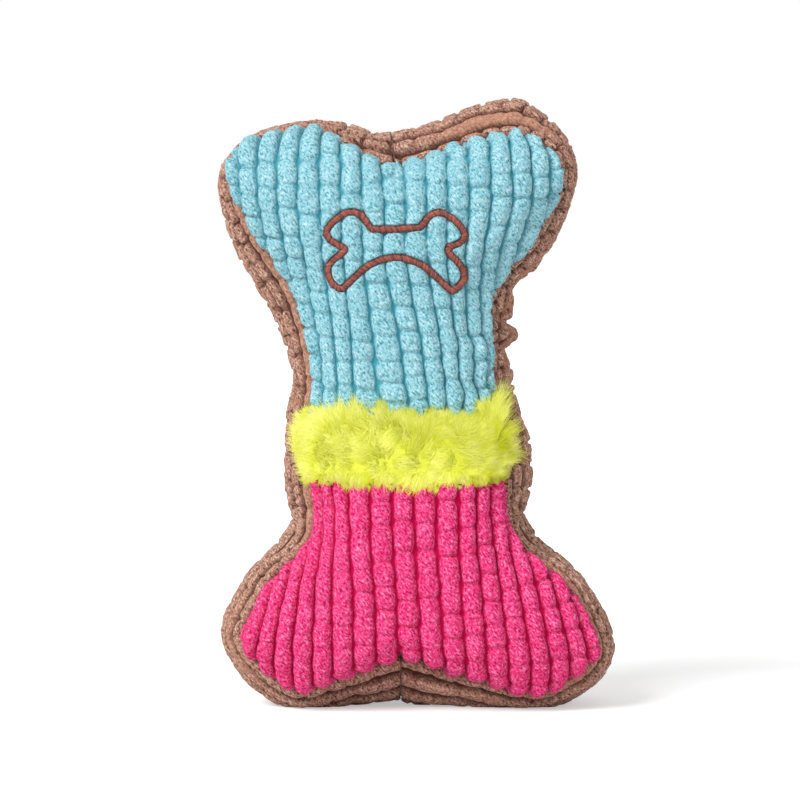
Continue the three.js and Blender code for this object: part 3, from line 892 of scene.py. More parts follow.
@dataclass
class BonePattern:
    """The toy's shape: its outline, its face seam and the surfaces that run between them."""

    notch: Pair = (-8.0, 191.3)
    arch: Pair = (-5.0, 1.7)
    notch_edge: float = 11.5
    arch_edge: float = 16.4
    cheek_up: float = 177.0
    band_top_up: float = 98.0
    band_bottom_up: float = 77.0
    lower_waist_up: float = 62.0
    sole_cut: float = 0.5
    ear_corner: Pair = (0.77, 0.43)
    foot_shoulder: Pair = (0.6, 0.41)
    heart: Triple = (-6.0, 0.0, 100.0)
    steps: int = 3
    band_top_station: int = 7
    band_bottom_station: int = 8
    half_gusset: float = 17.0
    seam_gap: float = 1.2
    gusset_bulge: float = 2.4
    row_roundness: float = 2.4
    end_roundness: float = 4.0
    midline_ease: float = 1.8
    ear_crown: float = 15.0
    waist_crown: float = 11.0
    waist_ease: float = 6.0
    back_crown: float = 17.0
    halvings: int = 36

    def __post_init__(self) -> None:
        """Works out the outline and the seam at the same samples as the solid model has."""
        left = [(-x, z) for x, z in self.stations(LEFT)][::-1]
        corners = np.array([self.notch, *self.stations(RIGHT), self.arch, *left])
        edges = np.array([self.notch_edge, *RIGHT.edges, self.arch_edge, *LEFT.edges[::-1]])
        self.outline = closed_spline(corners, self.steps)
        self.samples = len(self.outline)
        self.rows = self.samples // 2
        self.band_top_row = self.band_top_station * self.steps
        self.band_bottom_row = self.band_bottom_station * self.steps
        place = np.arange(self.samples) / self.steps
        shown = np.interp(place, np.arange(len(edges) + 1), np.append(edges, edges[0]))
        self.shown = shown[:, None]
        self.seam = inset_loop(self.outline, shown)
        self.face_base = self.half_gusset + self.seam_gap

    def stations(self, side: SidePattern) -> list[Pair]:
        """Lists a side's points from the crown of its ear to its sole.

        Args:
            side: sizes of that side.

        Returns:
            Points as distance from the middle line and height.
        """
        cheek = (side.cheek, self.cheek_up)
        lower_waist = (side.lower_waist, self.lower_waist_up)

        def between(start: Pair, end: Pair, share: Pair) -> Pair:
            """Takes a share of the way across and a share of the way up."""
            return tuple(a + (b - a) * part for a, b, part in zip(start, end, share))

        return [
            side.crown,
            between(side.crown, cheek, self.ear_corner),
            cheek,
            between(cheek, side.waist, side.underside),
            between(cheek, side.waist, side.flank),
            side.waist,
            (side.band_top, self.band_top_up),
            (side.band_bottom, self.band_bottom_up),
            lower_waist,
            between(lower_waist, side.foot, self.foot_shoulder),
            side.foot,
            (side.sole, -self.sole_cut),
        ]

    def both_seams(self, seam: Array, row: Array) -> tuple[Array, Array]:
        """Points of a seam at the left and the right end of each row."""
        return along_loop(seam, self.samples - row), along_loop(seam, row)

    def midline(self, seam: Array, row: Array) -> Array:
        """Middle line of a face: it eases away from the notch and the arch and is level with the band.

        Args:
            seam: the seam of this layer of cloth.
            row: rows, from 0 at the notch to the last at the arch.

        Returns:
            x and z for each row.
        """
        notch, arch = seam[0], seam[self.rows]
        top, bottom = self.band_top_row, self.band_bottom_row
        upper = notch[1] + (self.band_top_up - notch[1]) * np.clip(row / top, 0, 1) ** self.midline_ease
        below = np.clip((self.rows - row) / (self.rows - bottom), 0, 1) ** self.midline_ease
        lower = arch[1] + (self.band_bottom_up - arch[1]) * below
        band = self.band_top_up + (self.band_bottom_up - self.band_top_up) * (row - top) / (bottom - top)
        up = np.where(row < top, upper, np.where(row > bottom, lower, band))
        return np.stack([notch[0] + (arch[0] - notch[0]) * row / self.rows, up], axis=-1)

    def face(self, row: Array, share: Array, depth: float, facing: Facing) -> Array:
        """A face of the toy: a row runs from seam to seam and swells between them like a pillow.

        Args:
            row: rows, from 0 at the notch to the last at the arch.
            share: places on a row, from -1 at the left seam to 1 at the right.
            depth: how far the layer lies under the outside.
            facing: the front or the back.

        Returns:
            Points of the surface.
        """
        row, share = np.broadcast_arrays(row, share)
        seam = inset_loop(self.seam, depth)
        left, right = self.both_seams(seam, row)
        weight = np.abs(share)[..., None]
        flat = self.midline(seam, row) * (1 - weight) + np.where(share[..., None] < 0, left, right) * weight
        along = row / self.rows
        lobe = (self.ear_crown if facing is Facing.FRONT else self.back_crown) - depth
        waist = self.waist_crown - depth
        height = lobe + (waist - lobe) * np.sin(np.pi * along) ** self.waist_ease
        height = height * dome(2.0 * along - 1.0, self.end_roundness) * dome(share, self.row_roundness)
        return np.stack([flat[..., 0], facing.value * (self.face_base + height), flat[..., 1]], axis=-1)

    def gusset(self, sample: Array, share: Array, depth: float) -> Array:
        """The gusset: it leaves the face's seam, bulges to the outline and comes back to the back seam.

        Args:
            sample: places round the outline, counted in samples.
            share: places across, from -1 at the face's seam to 1 at the back seam.
            depth: how far the layer lies under the outside.

        Returns:
            Points of the surface.
        """
        sample, share = np.broadcast_arrays(sample, share)
        inner = along_loop(inset_loop(self.seam, depth), sample)
        outer = along_loop(inset_loop(self.outline, depth), sample)
        bulge = (1.0 - np.abs(share) ** self.gusset_bulge)[..., None]
        flat = inner + (outer - inner) * bulge
        return np.stack([flat[..., 0], share * self.half_gusset, flat[..., 1]], axis=-1)

    def front_place(self, across: Array, up: Array) -> tuple[Array, Array]:
        """Finds the row and share of the front face at a place, by halving the span of rows.

        Args:
            across: x of each place.
            up: z of each place.

        Returns:
            Rows and shares.
        """
        low = np.zeros_like(across)
        high = np.full_like(across, float(self.rows))
        for _ in range(self.halvings):
            row = (low + high) / 2.0
            mid_across, mid_up = self.midline(self.seam, row).T
            left, right = self.both_seams(self.seam, row)
            leftward = across < mid_across
            edge_across, edge_up = np.where(leftward[:, None], left, right).T
            half = np.where(leftward, mid_across - edge_across, edge_across - mid_across)
            share = (across - mid_across) / half
            above = mid_up + (edge_up - mid_up) * np.abs(share) > up
            low, high = np.where(above, row, low), np.where(above, high, row)
        return row, share


# Corduroy


@dataclass(frozen=True)
class Corduroy:
    """Jumbo corduroy whose ribs are broken into kernels: rib spacing, kernel length and pile height.

    A plain stretch is given as its rib's number, its start and end along the rib and how bare it is.
    """

    pitch: float = 7.0
    kernel: float = 8.6
    rise: float = 2.3
    groove: float = 0.04
    narrow: float = 0.2
    roundness: float = 2.7
    uneven_width: Pair = (0.95, 0.1)
    uneven_height: Pair = (0.93, 0.12)
    break_depth: Pair = (0.15, 0.55)
    break_from: Pair = (-200.0, -190.0)
    least_break: float = 0.35
    gap: Pair = (0.065, 0.1)
    sway: float = 0.06
    sway_cells: Pair = (14.0, 5.0)
    slip: float = 0.25
    slip_cell: float = 13.0
    plain: tuple[tuple[int, float, float, float], ...] = ()
    plain_ease: float = 9.0
    plain_half: float = 0.45
    plain_height: float = 0.85
    seed: float = 1.0

    def relief(
        self, across: Array, along: Array, parted: Array | float = 1.0
    ) -> tuple[Array, dict[str, Array]]:
        """Height of the pile: round across a rib, pinched where one kernel ends and the next begins.

        The gap between two kernels is narrow on the rib's crest and wide at its sides, so that each
        kernel has round corners like a bead. A plain stretch of a rib has no kernels.

        Args:
            across: distance over the ribs, in millimetres.
            along: distance along the ribs.
            parted: share of the depth between two kernels.

        Returns:
            Height from 0 in a groove to about 1 on a kernel, and the marks for the finish: the pile, a
            tone from 0 to 1 for each kernel, and how bare the rib is.
        """
        broad, fine = self.sway_cells
        sway = plane_noise(along, across, broad, self.seed)
        sway = sway + 0.5 * plane_noise(along, across, fine, self.seed + 4.0)
        rib = across / self.pitch + self.sway * sway
        number = np.floor(rib)
        offset = np.abs(rib - number - 0.5)
        slip = plane_noise(along, 40.0 * number, self.slip_cell, self.seed + 7.0)
        count = along / self.kernel + hash_unit(number, self.seed) + self.slip * slip
        piece = np.floor(count)
        tone = hash_unit(number, piece, self.seed)
        shallow, deep = self.break_depth
        depth = shallow + (deep - shallow) * hash_unit(number, np.rint(count), self.seed + 3.0)
        broken = self.least_break + (1.0 - self.least_break) * smooth_step(across, *self.break_from)
        depth = depth * broken * parted
        least_wide, more_wide = self.uneven_width
        least_tall, more_tall = self.uneven_height
        half = 0.5 * (1.0 - self.groove) * (least_wide + more_wide * tone)
        on_crest, at_sides = self.gap
        wide = on_crest + at_sides * np.minimum(1.0, offset / half) ** 2
        end = 0.5 - np.abs(count - piece - 0.5)
        pinch = np.exp(-((end / wide) ** 2))
        half = half * (1.0 - self.narrow * (0.4 + depth) * pinch)
        height = dome(offset / half, self.roundness) * (1.0 - depth * pinch) * (least_tall + more_tall * tone)
        bare = np.zeros_like(height)
        for rib_number, first, last, share in self.plain:
            worn = share * stretch(along, first, last, self.plain_ease)
            bare = np.maximum(bare, worn * (number == rib_number))
        smooth = dome(offset / self.plain_half, 2.4)
        height = height + (self.plain_height * smooth - height) * bare
        return height, {"pile": height, "tone": tone, "bare": bare * smooth_step(smooth, 0.35, 0.8)}


GUSSET_CORD = Corduroy(6.2, 8.2, 2.6, groove=0.14, narrow=0.28, roundness=2.2, break_depth=(0.35, 0.9))


@dataclass(frozen=True)
class RibLayout:
    """Where a face's ribs run: they drift to the right going down, and fan out from the waist.

    Left of the middle they drift less, and where the cloth is gathered they waver.
    """

    pitch: float
    crest: float
    drift: float = 0.0
    drift_up: Pair = (158.0, 98.0)
    drift_left: float = 1.0
    drift_run: float = 12.0
    fan: Pair = (0.0, 0.0)
    fan_run: float = 12.0
    fan_up: Pair = (172.0, 128.0)
    waver: float = 0.0
    waver_run: Pair = (12.0, 24.0)
    waver_up: Pair = (136.0, 118.0)
    wave_length: Pair = (2.6, 1.25)
    wave_tilt: float = 0.1
    second_wave: Pair = (0.35, 1.7)

    def place(self, run: Array, up: Array) -> Array:
        """Place across the ribs: the run of cloth from the middle line, set right by drift and fan.

        Args:
            run: distance along the cloth from the face's middle line, to the right.
            up: height of each point.

        Returns:
            Distance over the ribs, where a whole number of pitches is a groove.
        """
        hang_left = 1.0 + (self.drift_left - 1.0) * smooth_step(-run, 0.0, self.drift_run)
        drift = self.drift * hang_left * smooth_step(up, *self.drift_up)
        side = np.where(run < 0.0, -self.fan[0], self.fan[1])
        fan = side * np.maximum(0.0, np.abs(run) - self.fan_run) * smooth_step(up, *self.fan_up)
        gathered = smooth_step(run, *self.waver_run) * smooth_step(up, *self.waver_up)
        broad, fine = self.wave_length
        share, shift = self.second_wave
        wave = np.sin(up / broad + self.wave_tilt * run) + share * np.sin(up / fine + shift)
        return run - drift + fan + self.waver * gathered * wave - self.crest + self.pitch / 2.0


UPPER_RIBS = RibLayout(7.05, -0.8, 7.6, drift_left=0.5, fan=(0.12, 0.3), waver=0.9)
LOWER_RIBS = RibLayout(7.3, 1.35, 1.9, (71.0, 17.0), fan=(0.42, 0.2), fan_run=20.0, fan_up=(5.0, 60.0))
BACK_RIBS = RibLayout(7.2, 3.6)


@dataclass(frozen=True)
class PadSimulation:
    """Lets a sewn pad swell: a coarse sheet, held along its seams, is blown up by Blender's cloth solver.

    The sheet starts a little inside the pad's shape, swells back to it and puckers towards its seams.
    """

    spacing: float = 4.5
    pressure: float = 300.0
    stretch: float = 0.015
    slack: float = 0.5
    slack_reach: float = 3.0
    cap: float = 0.6
    frames: int = 20

    def sheet(self, points: Array, normal: Array) -> Piece:
        """Makes the coarse sheet, with the points on its border in a group that stays in place.

        Args:
            points: points of the sheet in millimetres as (row, column, xyz).
            normal: outward directions at these points.

        Returns:
            The sheet, with a cloth modifier.
        """
        rows, columns = points.shape[:2]
        number = np.arange(rows * columns).reshape(rows, columns)
        corners = (number[:-1, :-1], number[:-1, 1:], number[1:, 1:], number[1:, :-1])
        faces = np.stack(corners, axis=-1).reshape(-1, 4)
        if np.einsum("...k,...k->...", grid_normals(points), normal).mean() > 0.0:
            faces = faces[:, ::-1]
        mesh = bpy.data.meshes.new("pad_sheet")
        mesh.from_pydata((points.reshape(-1, 3) * MM).tolist(), [], faces.tolist())
        sheet = linked("pad_sheet", mesh)
        border = np.concatenate([number[0], number[-1], number[1:-1, 0], number[1:-1, -1]])
        sheet.vertex_groups.new(name="seam").add(border.tolist(), 1.0, "REPLACE")
        cloth = sheet.modifiers.new("cloth", "CLOTH")
        cloth.settings.vertex_group_mass = "seam"
        cloth.settings.use_pressure = True
        cloth.settings.uniform_pressure_force = self.pressure
        cloth.settings.shrink_min = -self.stretch
        cloth.settings.effector_weights.gravity = 0.0
        cloth.point_cache.frame_start = 1
        cloth.point_cache.frame_end = self.frames
        return sheet

    def swell(self, grid: Array, normal: Array) -> Array:
        """Blows a pad up and carries its swelling over to the pad's fine grid.

        Args:
            grid: points of the smooth outside.
            normal: outward directions at these points.
        """
        tall, wide = (run_along(lines)[:, -1].max() for lines in (grid.swapaxes(0, 1), grid))
        rows = np.linspace(0, len(grid) - 1, int(tall / self.spacing)).astype(int)
        columns = np.linspace(0, grid.shape[1] - 1, int(wide / self.spacing)).astype(int)
        shape, out = grid[np.ix_(rows, columns)], normal[np.ix_(rows, columns)]
        down, across = np.arange(len(rows)), np.arange(len(columns))
        rim = np.minimum.outer(np.minimum(down, down[::-1]), np.minimum(across, across[::-1]))
        held = self.slack * smooth_step(rim, 0.0, self.slack_reach)
        start = shape - out * held[..., None]
        sheet = self.sheet(start, out)
        scene = bpy.context.scene
        for frame in range(1, self.frames + 1):
            scene.frame_set(frame)
        blown = sheet.evaluated_get(bpy.context.evaluated_depsgraph_get()).data
        points = np.empty(start.size)
        blown.vertices.foreach_get("co", points)
        scene.frame_set(1)
        bpy.data.meshes.remove(sheet.data)
        moved = ((points.reshape(start.shape) / MM - start) * out).sum(-1)
        puff = np.clip(np.nan_to_num(moved) - held, -held, self.cap)
        LOG.info("pad sheet %s: swells by %.2f mm, %.2f at most", puff.shape, puff.mean(), moved.max())
        row = np.interp(np.arange(len(grid)), rows, down)
        column = np.interp(np.arange(grid.shape[1]), columns, across)
        return along_loop(along_loop(puff, row, False).T, column, False).T


@dataclass
class SewnCloth:
    """A closed piece of corduroy: a fine outside with its relief, a plain inside and rims between them.

    However deep a groove or tuck goes, the cloth keeps its thinnest measure.
    """

    pattern: BonePattern
    cloth: Corduroy
    name: str = ""
    node: str = ""
    fabric: float = 3.0
    thinnest: float = 0.9
    fill: float = 0.85
    proud: float = 0.5
    tuck: float = 1.3
    tuck_reach: float = 1.0
    tip_start: float = 1.5
    overhang_reach: float = 6.0
    lump: float = 0.5
    ripple: float = 0.2
    fuzz: float = 0.22
    lump_cells: Triple = (17.0, 2.1, 0.85)
    roll: float = 0.5
    seam_pile: float = 0.24
    seam_shade: Pair = (2.6, 0.8)
    inner_columns: int = 24
    pad: PadSimulation = PadSimulation()

    def rough(
        self,
        grid: Array,
        across: Array,
        along: Array,
        edge: Array,
        overhang: Array | float = 0.0,
        parted: Array | float = 1.0,
    ) -> tuple[Array, dict[str, Array]]:
        """Raises the kernels from a smooth outside and tucks the cloth in at its sewn edges.

        Near a seam each rib swells out into a round tip, by the overhang on its crest.

        Args:
            grid: points of the smooth outside.
            across: distance over the ribs.
            along: distance along the ribs.
            edge: distance to the nearest seam.
            overhang: how far a rib's tip swells over the seam.
            parted: share of the depth between two kernels.

        Returns:
            How far each point stands out, and the marks for the finish.
        """
        height, marks = self.cloth.relief(across, along, parted)
        seed = self.cloth.seed
        broad, middle, fine = self.lump_cells
        lump = soft_noise(grid, broad, seed) * self.lump
        lump = lump + soft_noise(grid, middle, seed + 2.0) * self.ripple
        lump = lump + soft_noise(grid, fine, seed + 6.0) * self.fuzz * np.minimum(1.0, 2.0 * height)
        offset = self.proud - self.cloth.rise * (1.0 - height) + lump
        reach = (1.0 - np.exp(-edge / self.tip_start)) * np.exp(-((edge / self.overhang_reach) ** 2))
        offset += overhang * height * reach
        offset -= self.tuck * np.exp(-edge / self.tuck_reach)
        # The pile mark near a seam is held at least at the seam pile, which sets how much painted groove
        # shade shows along the seam.
        marks["pile"] = np.maximum(marks["pile"], self.seam_pile * smooth_step(edge, *self.seam_shade))
        return offset, marks

    def build(self) -> Skin:
        """The closed skin, which each kind of piece works out for itself."""
        raise NotImplementedError

    def raised(self, grid: Array, offset: Array, normal: Array) -> Array:
        """Moves the outside out by its offset and the pad's swelling, but never into the inside."""
        offset = np.maximum(offset + self.pad.swell(grid, normal), self.thinnest - self.fabric)
        return grid + normal * offset[..., None]

    def place(self, finish: CorduroyFinish, body: Body) -> Piece:
        """Makes the piece, dresses it and hangs it on its body."""
        piece = self.build().piece(self.name, finish.material())
        return hang(piece, body, self.node)


@dataclass
class FacePanel(SewnCloth):
    """A corduroy panel of a face, from one row to another, with upright ribs.

    Its rib tips may spill over the seam further at the right ear's top and along the sides of some rows.
    """

    facing: Facing = Facing.FRONT
    first_row: float = 0.0
    last_row: float = 1.0
    row_steps: int = 13
    columns: int = 230
    column_crowd: float = 0.5
    end_gap: float = 0.02
    seam_step: float = 0.34
    kernel_slope: float = 0.5
    layout: RibLayout = BACK_RIBS
    overhang: float = 1.1
    tip_curl: float = 0.7
    cover_under: float = 4.5
    cover: float = 1.1
    right_top: float = 0.0
    crown_share: Pair = (0.1, 0.4)
    crown_rows: Pair = (6.0, 3.0)
    side_spill: float = 0.0
    side_share: Pair = (0.4, 0.8)
    side_rows: Pair = (7.0, 17.0)
    side_ease: float = 1.0
    press: Array | None = None
    press_reach: Pair = (0.9075, 1.65)
    press_depth: float = 1.1

    def build(self) -> Skin:
        """Works out the panel: ribs follow the cloth's length across each row, kernels its height.

        Returns:
            The closed skin.
        """
        pattern = self.pattern
        sewn_top, sewn_bottom = self.first_row > 0, self.last_row < pattern.rows
        first = self.first_row + (0.0 if sewn_top else self.end_gap)
        last = self.last_row - (0.0 if sewn_bottom else self.end_gap)
        row = np.linspace(first, last, int((last - first) * self.row_steps))[:, None]
        share = crowd(columns_of(self.columns), self.column_crowd)
        grid = pattern.face(row, share, 0.0, self.facing)
        grid[0, :, 2] -= pattern.seam_gap / 2.0 * sewn_top
        grid[-1, :, 2] += pattern.seam_gap / 2.0 * sewn_bottom
        run = run_along(grid[..., :2])
        middle = np.array([np.interp(0.0, share[0], line) for line in run])[:, None]
        across = self.layout.place(run - middle, grid[..., 2])
        along = grid[..., 2] + self.kernel_slope * np.abs(grid[..., 1])
        offset, marks = self.rough(grid, across, along, self.seam_distance(grid), self.spill(row, share))
        outer = self.raised(grid, self.pressed(grid, offset), outward(grid, np.array(pattern.heart)))
        curl = self.roll + self.tip_curl * marks["pile"][:, [3, -4]]
        outer[:, [0, -1], 1] = self.facing.value * (pattern.face_base - curl)
        inner = pattern.face(row, crowd(columns_of(self.inner_columns)), self.fabric, self.facing)
        return closed_shell(outer, inner, marks)

    def seam_distance(self, grid: Array) -> Array:
        """Distance of points from the seam: flat distance to the seam's line and height over it.

        Args:
            grid: points of the smooth outside.

        Returns:
            One distance for each point.
        """
        line = along_loop(self.pattern.seam, np.arange(0, self.pattern.samples, self.seam_step))
        flat = nearest(grid[..., [0, 2]].astype(np.float32), line.astype(np.float32))
        return np.hypot(flat, np.abs(self.facing.value * grid[..., 1] - self.pattern.face_base))

    def spill(self, row: Array, share: Array) -> Array:
        """How far the rib tips swell over the seam: more where hardly any gusset shows beside it.

        Args:
            row: rows of the panel.
            share: places on a row.

        Returns:
            One overhang for each point.
        """
        left, right = (ends[:, :1] for ends in self.pattern.both_seams(self.pattern.shown, row[:, 0]))
        shown = np.where(share < 0.0, left, right)
        crown = smooth_step(share, *self.crown_share) * smooth_step(row, *self.crown_rows)
        side = smooth_step(np.abs(share), *self.side_share) * stretch(row, *self.side_rows, self.side_ease)
        spill = self.overhang + self.cover * np.maximum(0.0, self.cover_under - shown)
        return spill + self.right_top * crown + self.side_spill * side

    def pressed(self, grid: Array, offset: Array) -> Array:
        """Presses the pile down under a line of stitches.

        Args:
            grid: points of the smooth outside.
            offset: how far each point stands out.

        Returns:
            The lowered offsets.
        """
        if self.press is None:
            return offset
        weight = 1.0 - smooth_step(nearest(grid[..., [0, 2]], self.press), *self.press_reach)
        return offset * (1.0 - weight) + np.minimum(offset, -self.press_depth) * weight


@dataclass
class GussetStrip(SewnCloth):
    """One of the two side strips, whose ribs run along it from the notch to the arch.

    The edge rib is the width of the two outermost ribs, as a share of the others'. A fold is given as its
    lower and upper height and how far it stands out, a bulge as its height, reach and how far it does.
    """

    first_sample: float = 0.0
    last_sample: float = 1.0
    seam_pile: float = 0.3
    proud: float = 0.3
    lump: float = 0.6
    ribs: int = 7
    edge_rib: float = 0.7
    length_steps: int = 520
    width_steps: int = 104
    core: float = 12.0
    parted_least: float = 0.35
    parted_up: Pair = (45.0, 105.0)
    pucker: float = 1.3
    pucker_up: Pair = (104.0, 152.0)
    pucker_left: float = 0.35
    pucker_ease: float = 6.0
    pucker_cell: float = 6.5
    pucker_fade: Pair = (10.0, 12.0)
    pucker_slant: float = 0.35
    front_deep: Pair = (13.0, 3.0)
    fold_slant: float = 0.14
    fold_depth: float = 1.9
    folds: tuple[Triple, ...] = ()
    bulges: tuple[Triple, ...] = ()
    join_ease: float = 1.2

    def build(self) -> Skin:
        """Works out the strip: ribs share out the cloth's width between the two seams.

        Returns:
            The closed skin.
        """
        pattern = self.pattern
        sample = np.linspace(self.first_sample, self.last_sample, self.length_steps)[:, None]
        grid = pattern.gusset(sample, columns_of(self.width_steps), 0.0)
        towards = 1.0 if self.first_sample == 0.0 else -1.0
        grid[[0, -1], :, 0] += towards * (pattern.seam_gap / 2.0 - self.roll)
        over = run_along(grid)
        widths = np.ones(self.ribs)
        widths[[0, -1]] = self.edge_rib
        grooves = np.insert(np.cumsum(widths), 0, 0.0)
        across = np.interp(over / over[:, -1:] * grooves[-1], grooves, np.arange(self.ribs + 1.0))
        across = across * self.cloth.pitch
        middle = np.zeros((1, 1))
        run = run_along(pattern.gusset(sample, middle, 0.0)[:, 0])
        along = np.broadcast_to(run[:, None], across.shape)
        ends = np.minimum(along, run[-1] - along) + self.join_ease
        edge = np.minimum(np.minimum(over, over[:, -1:] - over), ends)
        parted = self.parted_least + (1.0 - self.parted_least) * smooth_step(grid[..., 2], *self.parted_up)
        offset, marks = self.rough(grid, across, along, edge, parted=parted)
        offset = offset + self.puckers(grid, along) * np.minimum(1.0, edge / self.pucker_ease)
        outer = self.raised(grid, offset, outward(grid, pattern.gusset(sample, middle, self.core)))
        outer[:, [0, -1], 1] = np.array([-1.0, 1.0]) * (pattern.half_gusset + self.roll)
        outer[[0, -1], :, 0] = grid[[0, -1], :, 0]
        outer[..., 2] = np.maximum(outer[..., 2], 0.0)
        inner = pattern.gusset(sample, columns_of(self.inner_columns), self.fabric)
        inner[[0, -1], :, 0] += towards * pattern.seam_gap / 2.0
        return closed_shell(outer, inner, marks)

    def puckers(self, grid: Array, along: Array) -> Array:
        """Gathers where the strip is eased round the waist, with folds and bulges towards the face.

        A gather is smooth noise, a fold a half circle across its heights, a bulge a bell round its height.

        Args:
            grid: points of the smooth outside.
            along: distance along the ribs.

        Returns:
            How far each point stands out.
        """
        low, high = self.pucker_up
        below, above = self.pucker_fade
        up = grid[..., 2]
        waist = smooth_step(up, low, low + below) * (1.0 - smooth_step(up, high - above, high))
        side = np.where(grid[..., 0] > 0.0, 1.0, self.pucker_left)
        wave = plane_noise(along, self.pucker_slant * grid[..., 1], self.pucker_cell, 31.0)
        slant = up + self.fold_slant * grid[..., 1]
        bumps = np.zeros_like(along)
        for lower, upper, height in self.folds:
            place = (slant - (lower + upper) / 2.0) / ((upper - lower) / 2.0)
            fold = (height + self.fold_depth) * dome(place, 2.0) - self.fold_depth
            bumps = np.where(np.abs(place) < 1.0, fold, bumps)
        for middle, reach, height in self.bulges:
            bumps = bumps + height * np.exp(-(((slant - middle) / reach) ** 2))
        return self.pucker * side * waist * wave + smooth_step(grid[..., 1], *self.front_deep) * bumps


@dataclass(frozen=True)
class Squeeze:
    """How far the face can be pressed towards the back, and the gusset's half width."""

    travel: float
    half_gusset: float
    joint: str = "squeeze"

    def flatten(self, piece: Piece, anchor: float | None = None, keep: float | None = None) -> None:
        """Gives a piece a mesh of its own; it does not flatten it.

        Args:
            piece: the soft piece.
            anchor: y that stays in place, or the back seam; not used.
            keep: share of the depth that is left, or what the gusset keeps; not used.
        """
        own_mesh(piece)


# Fur band


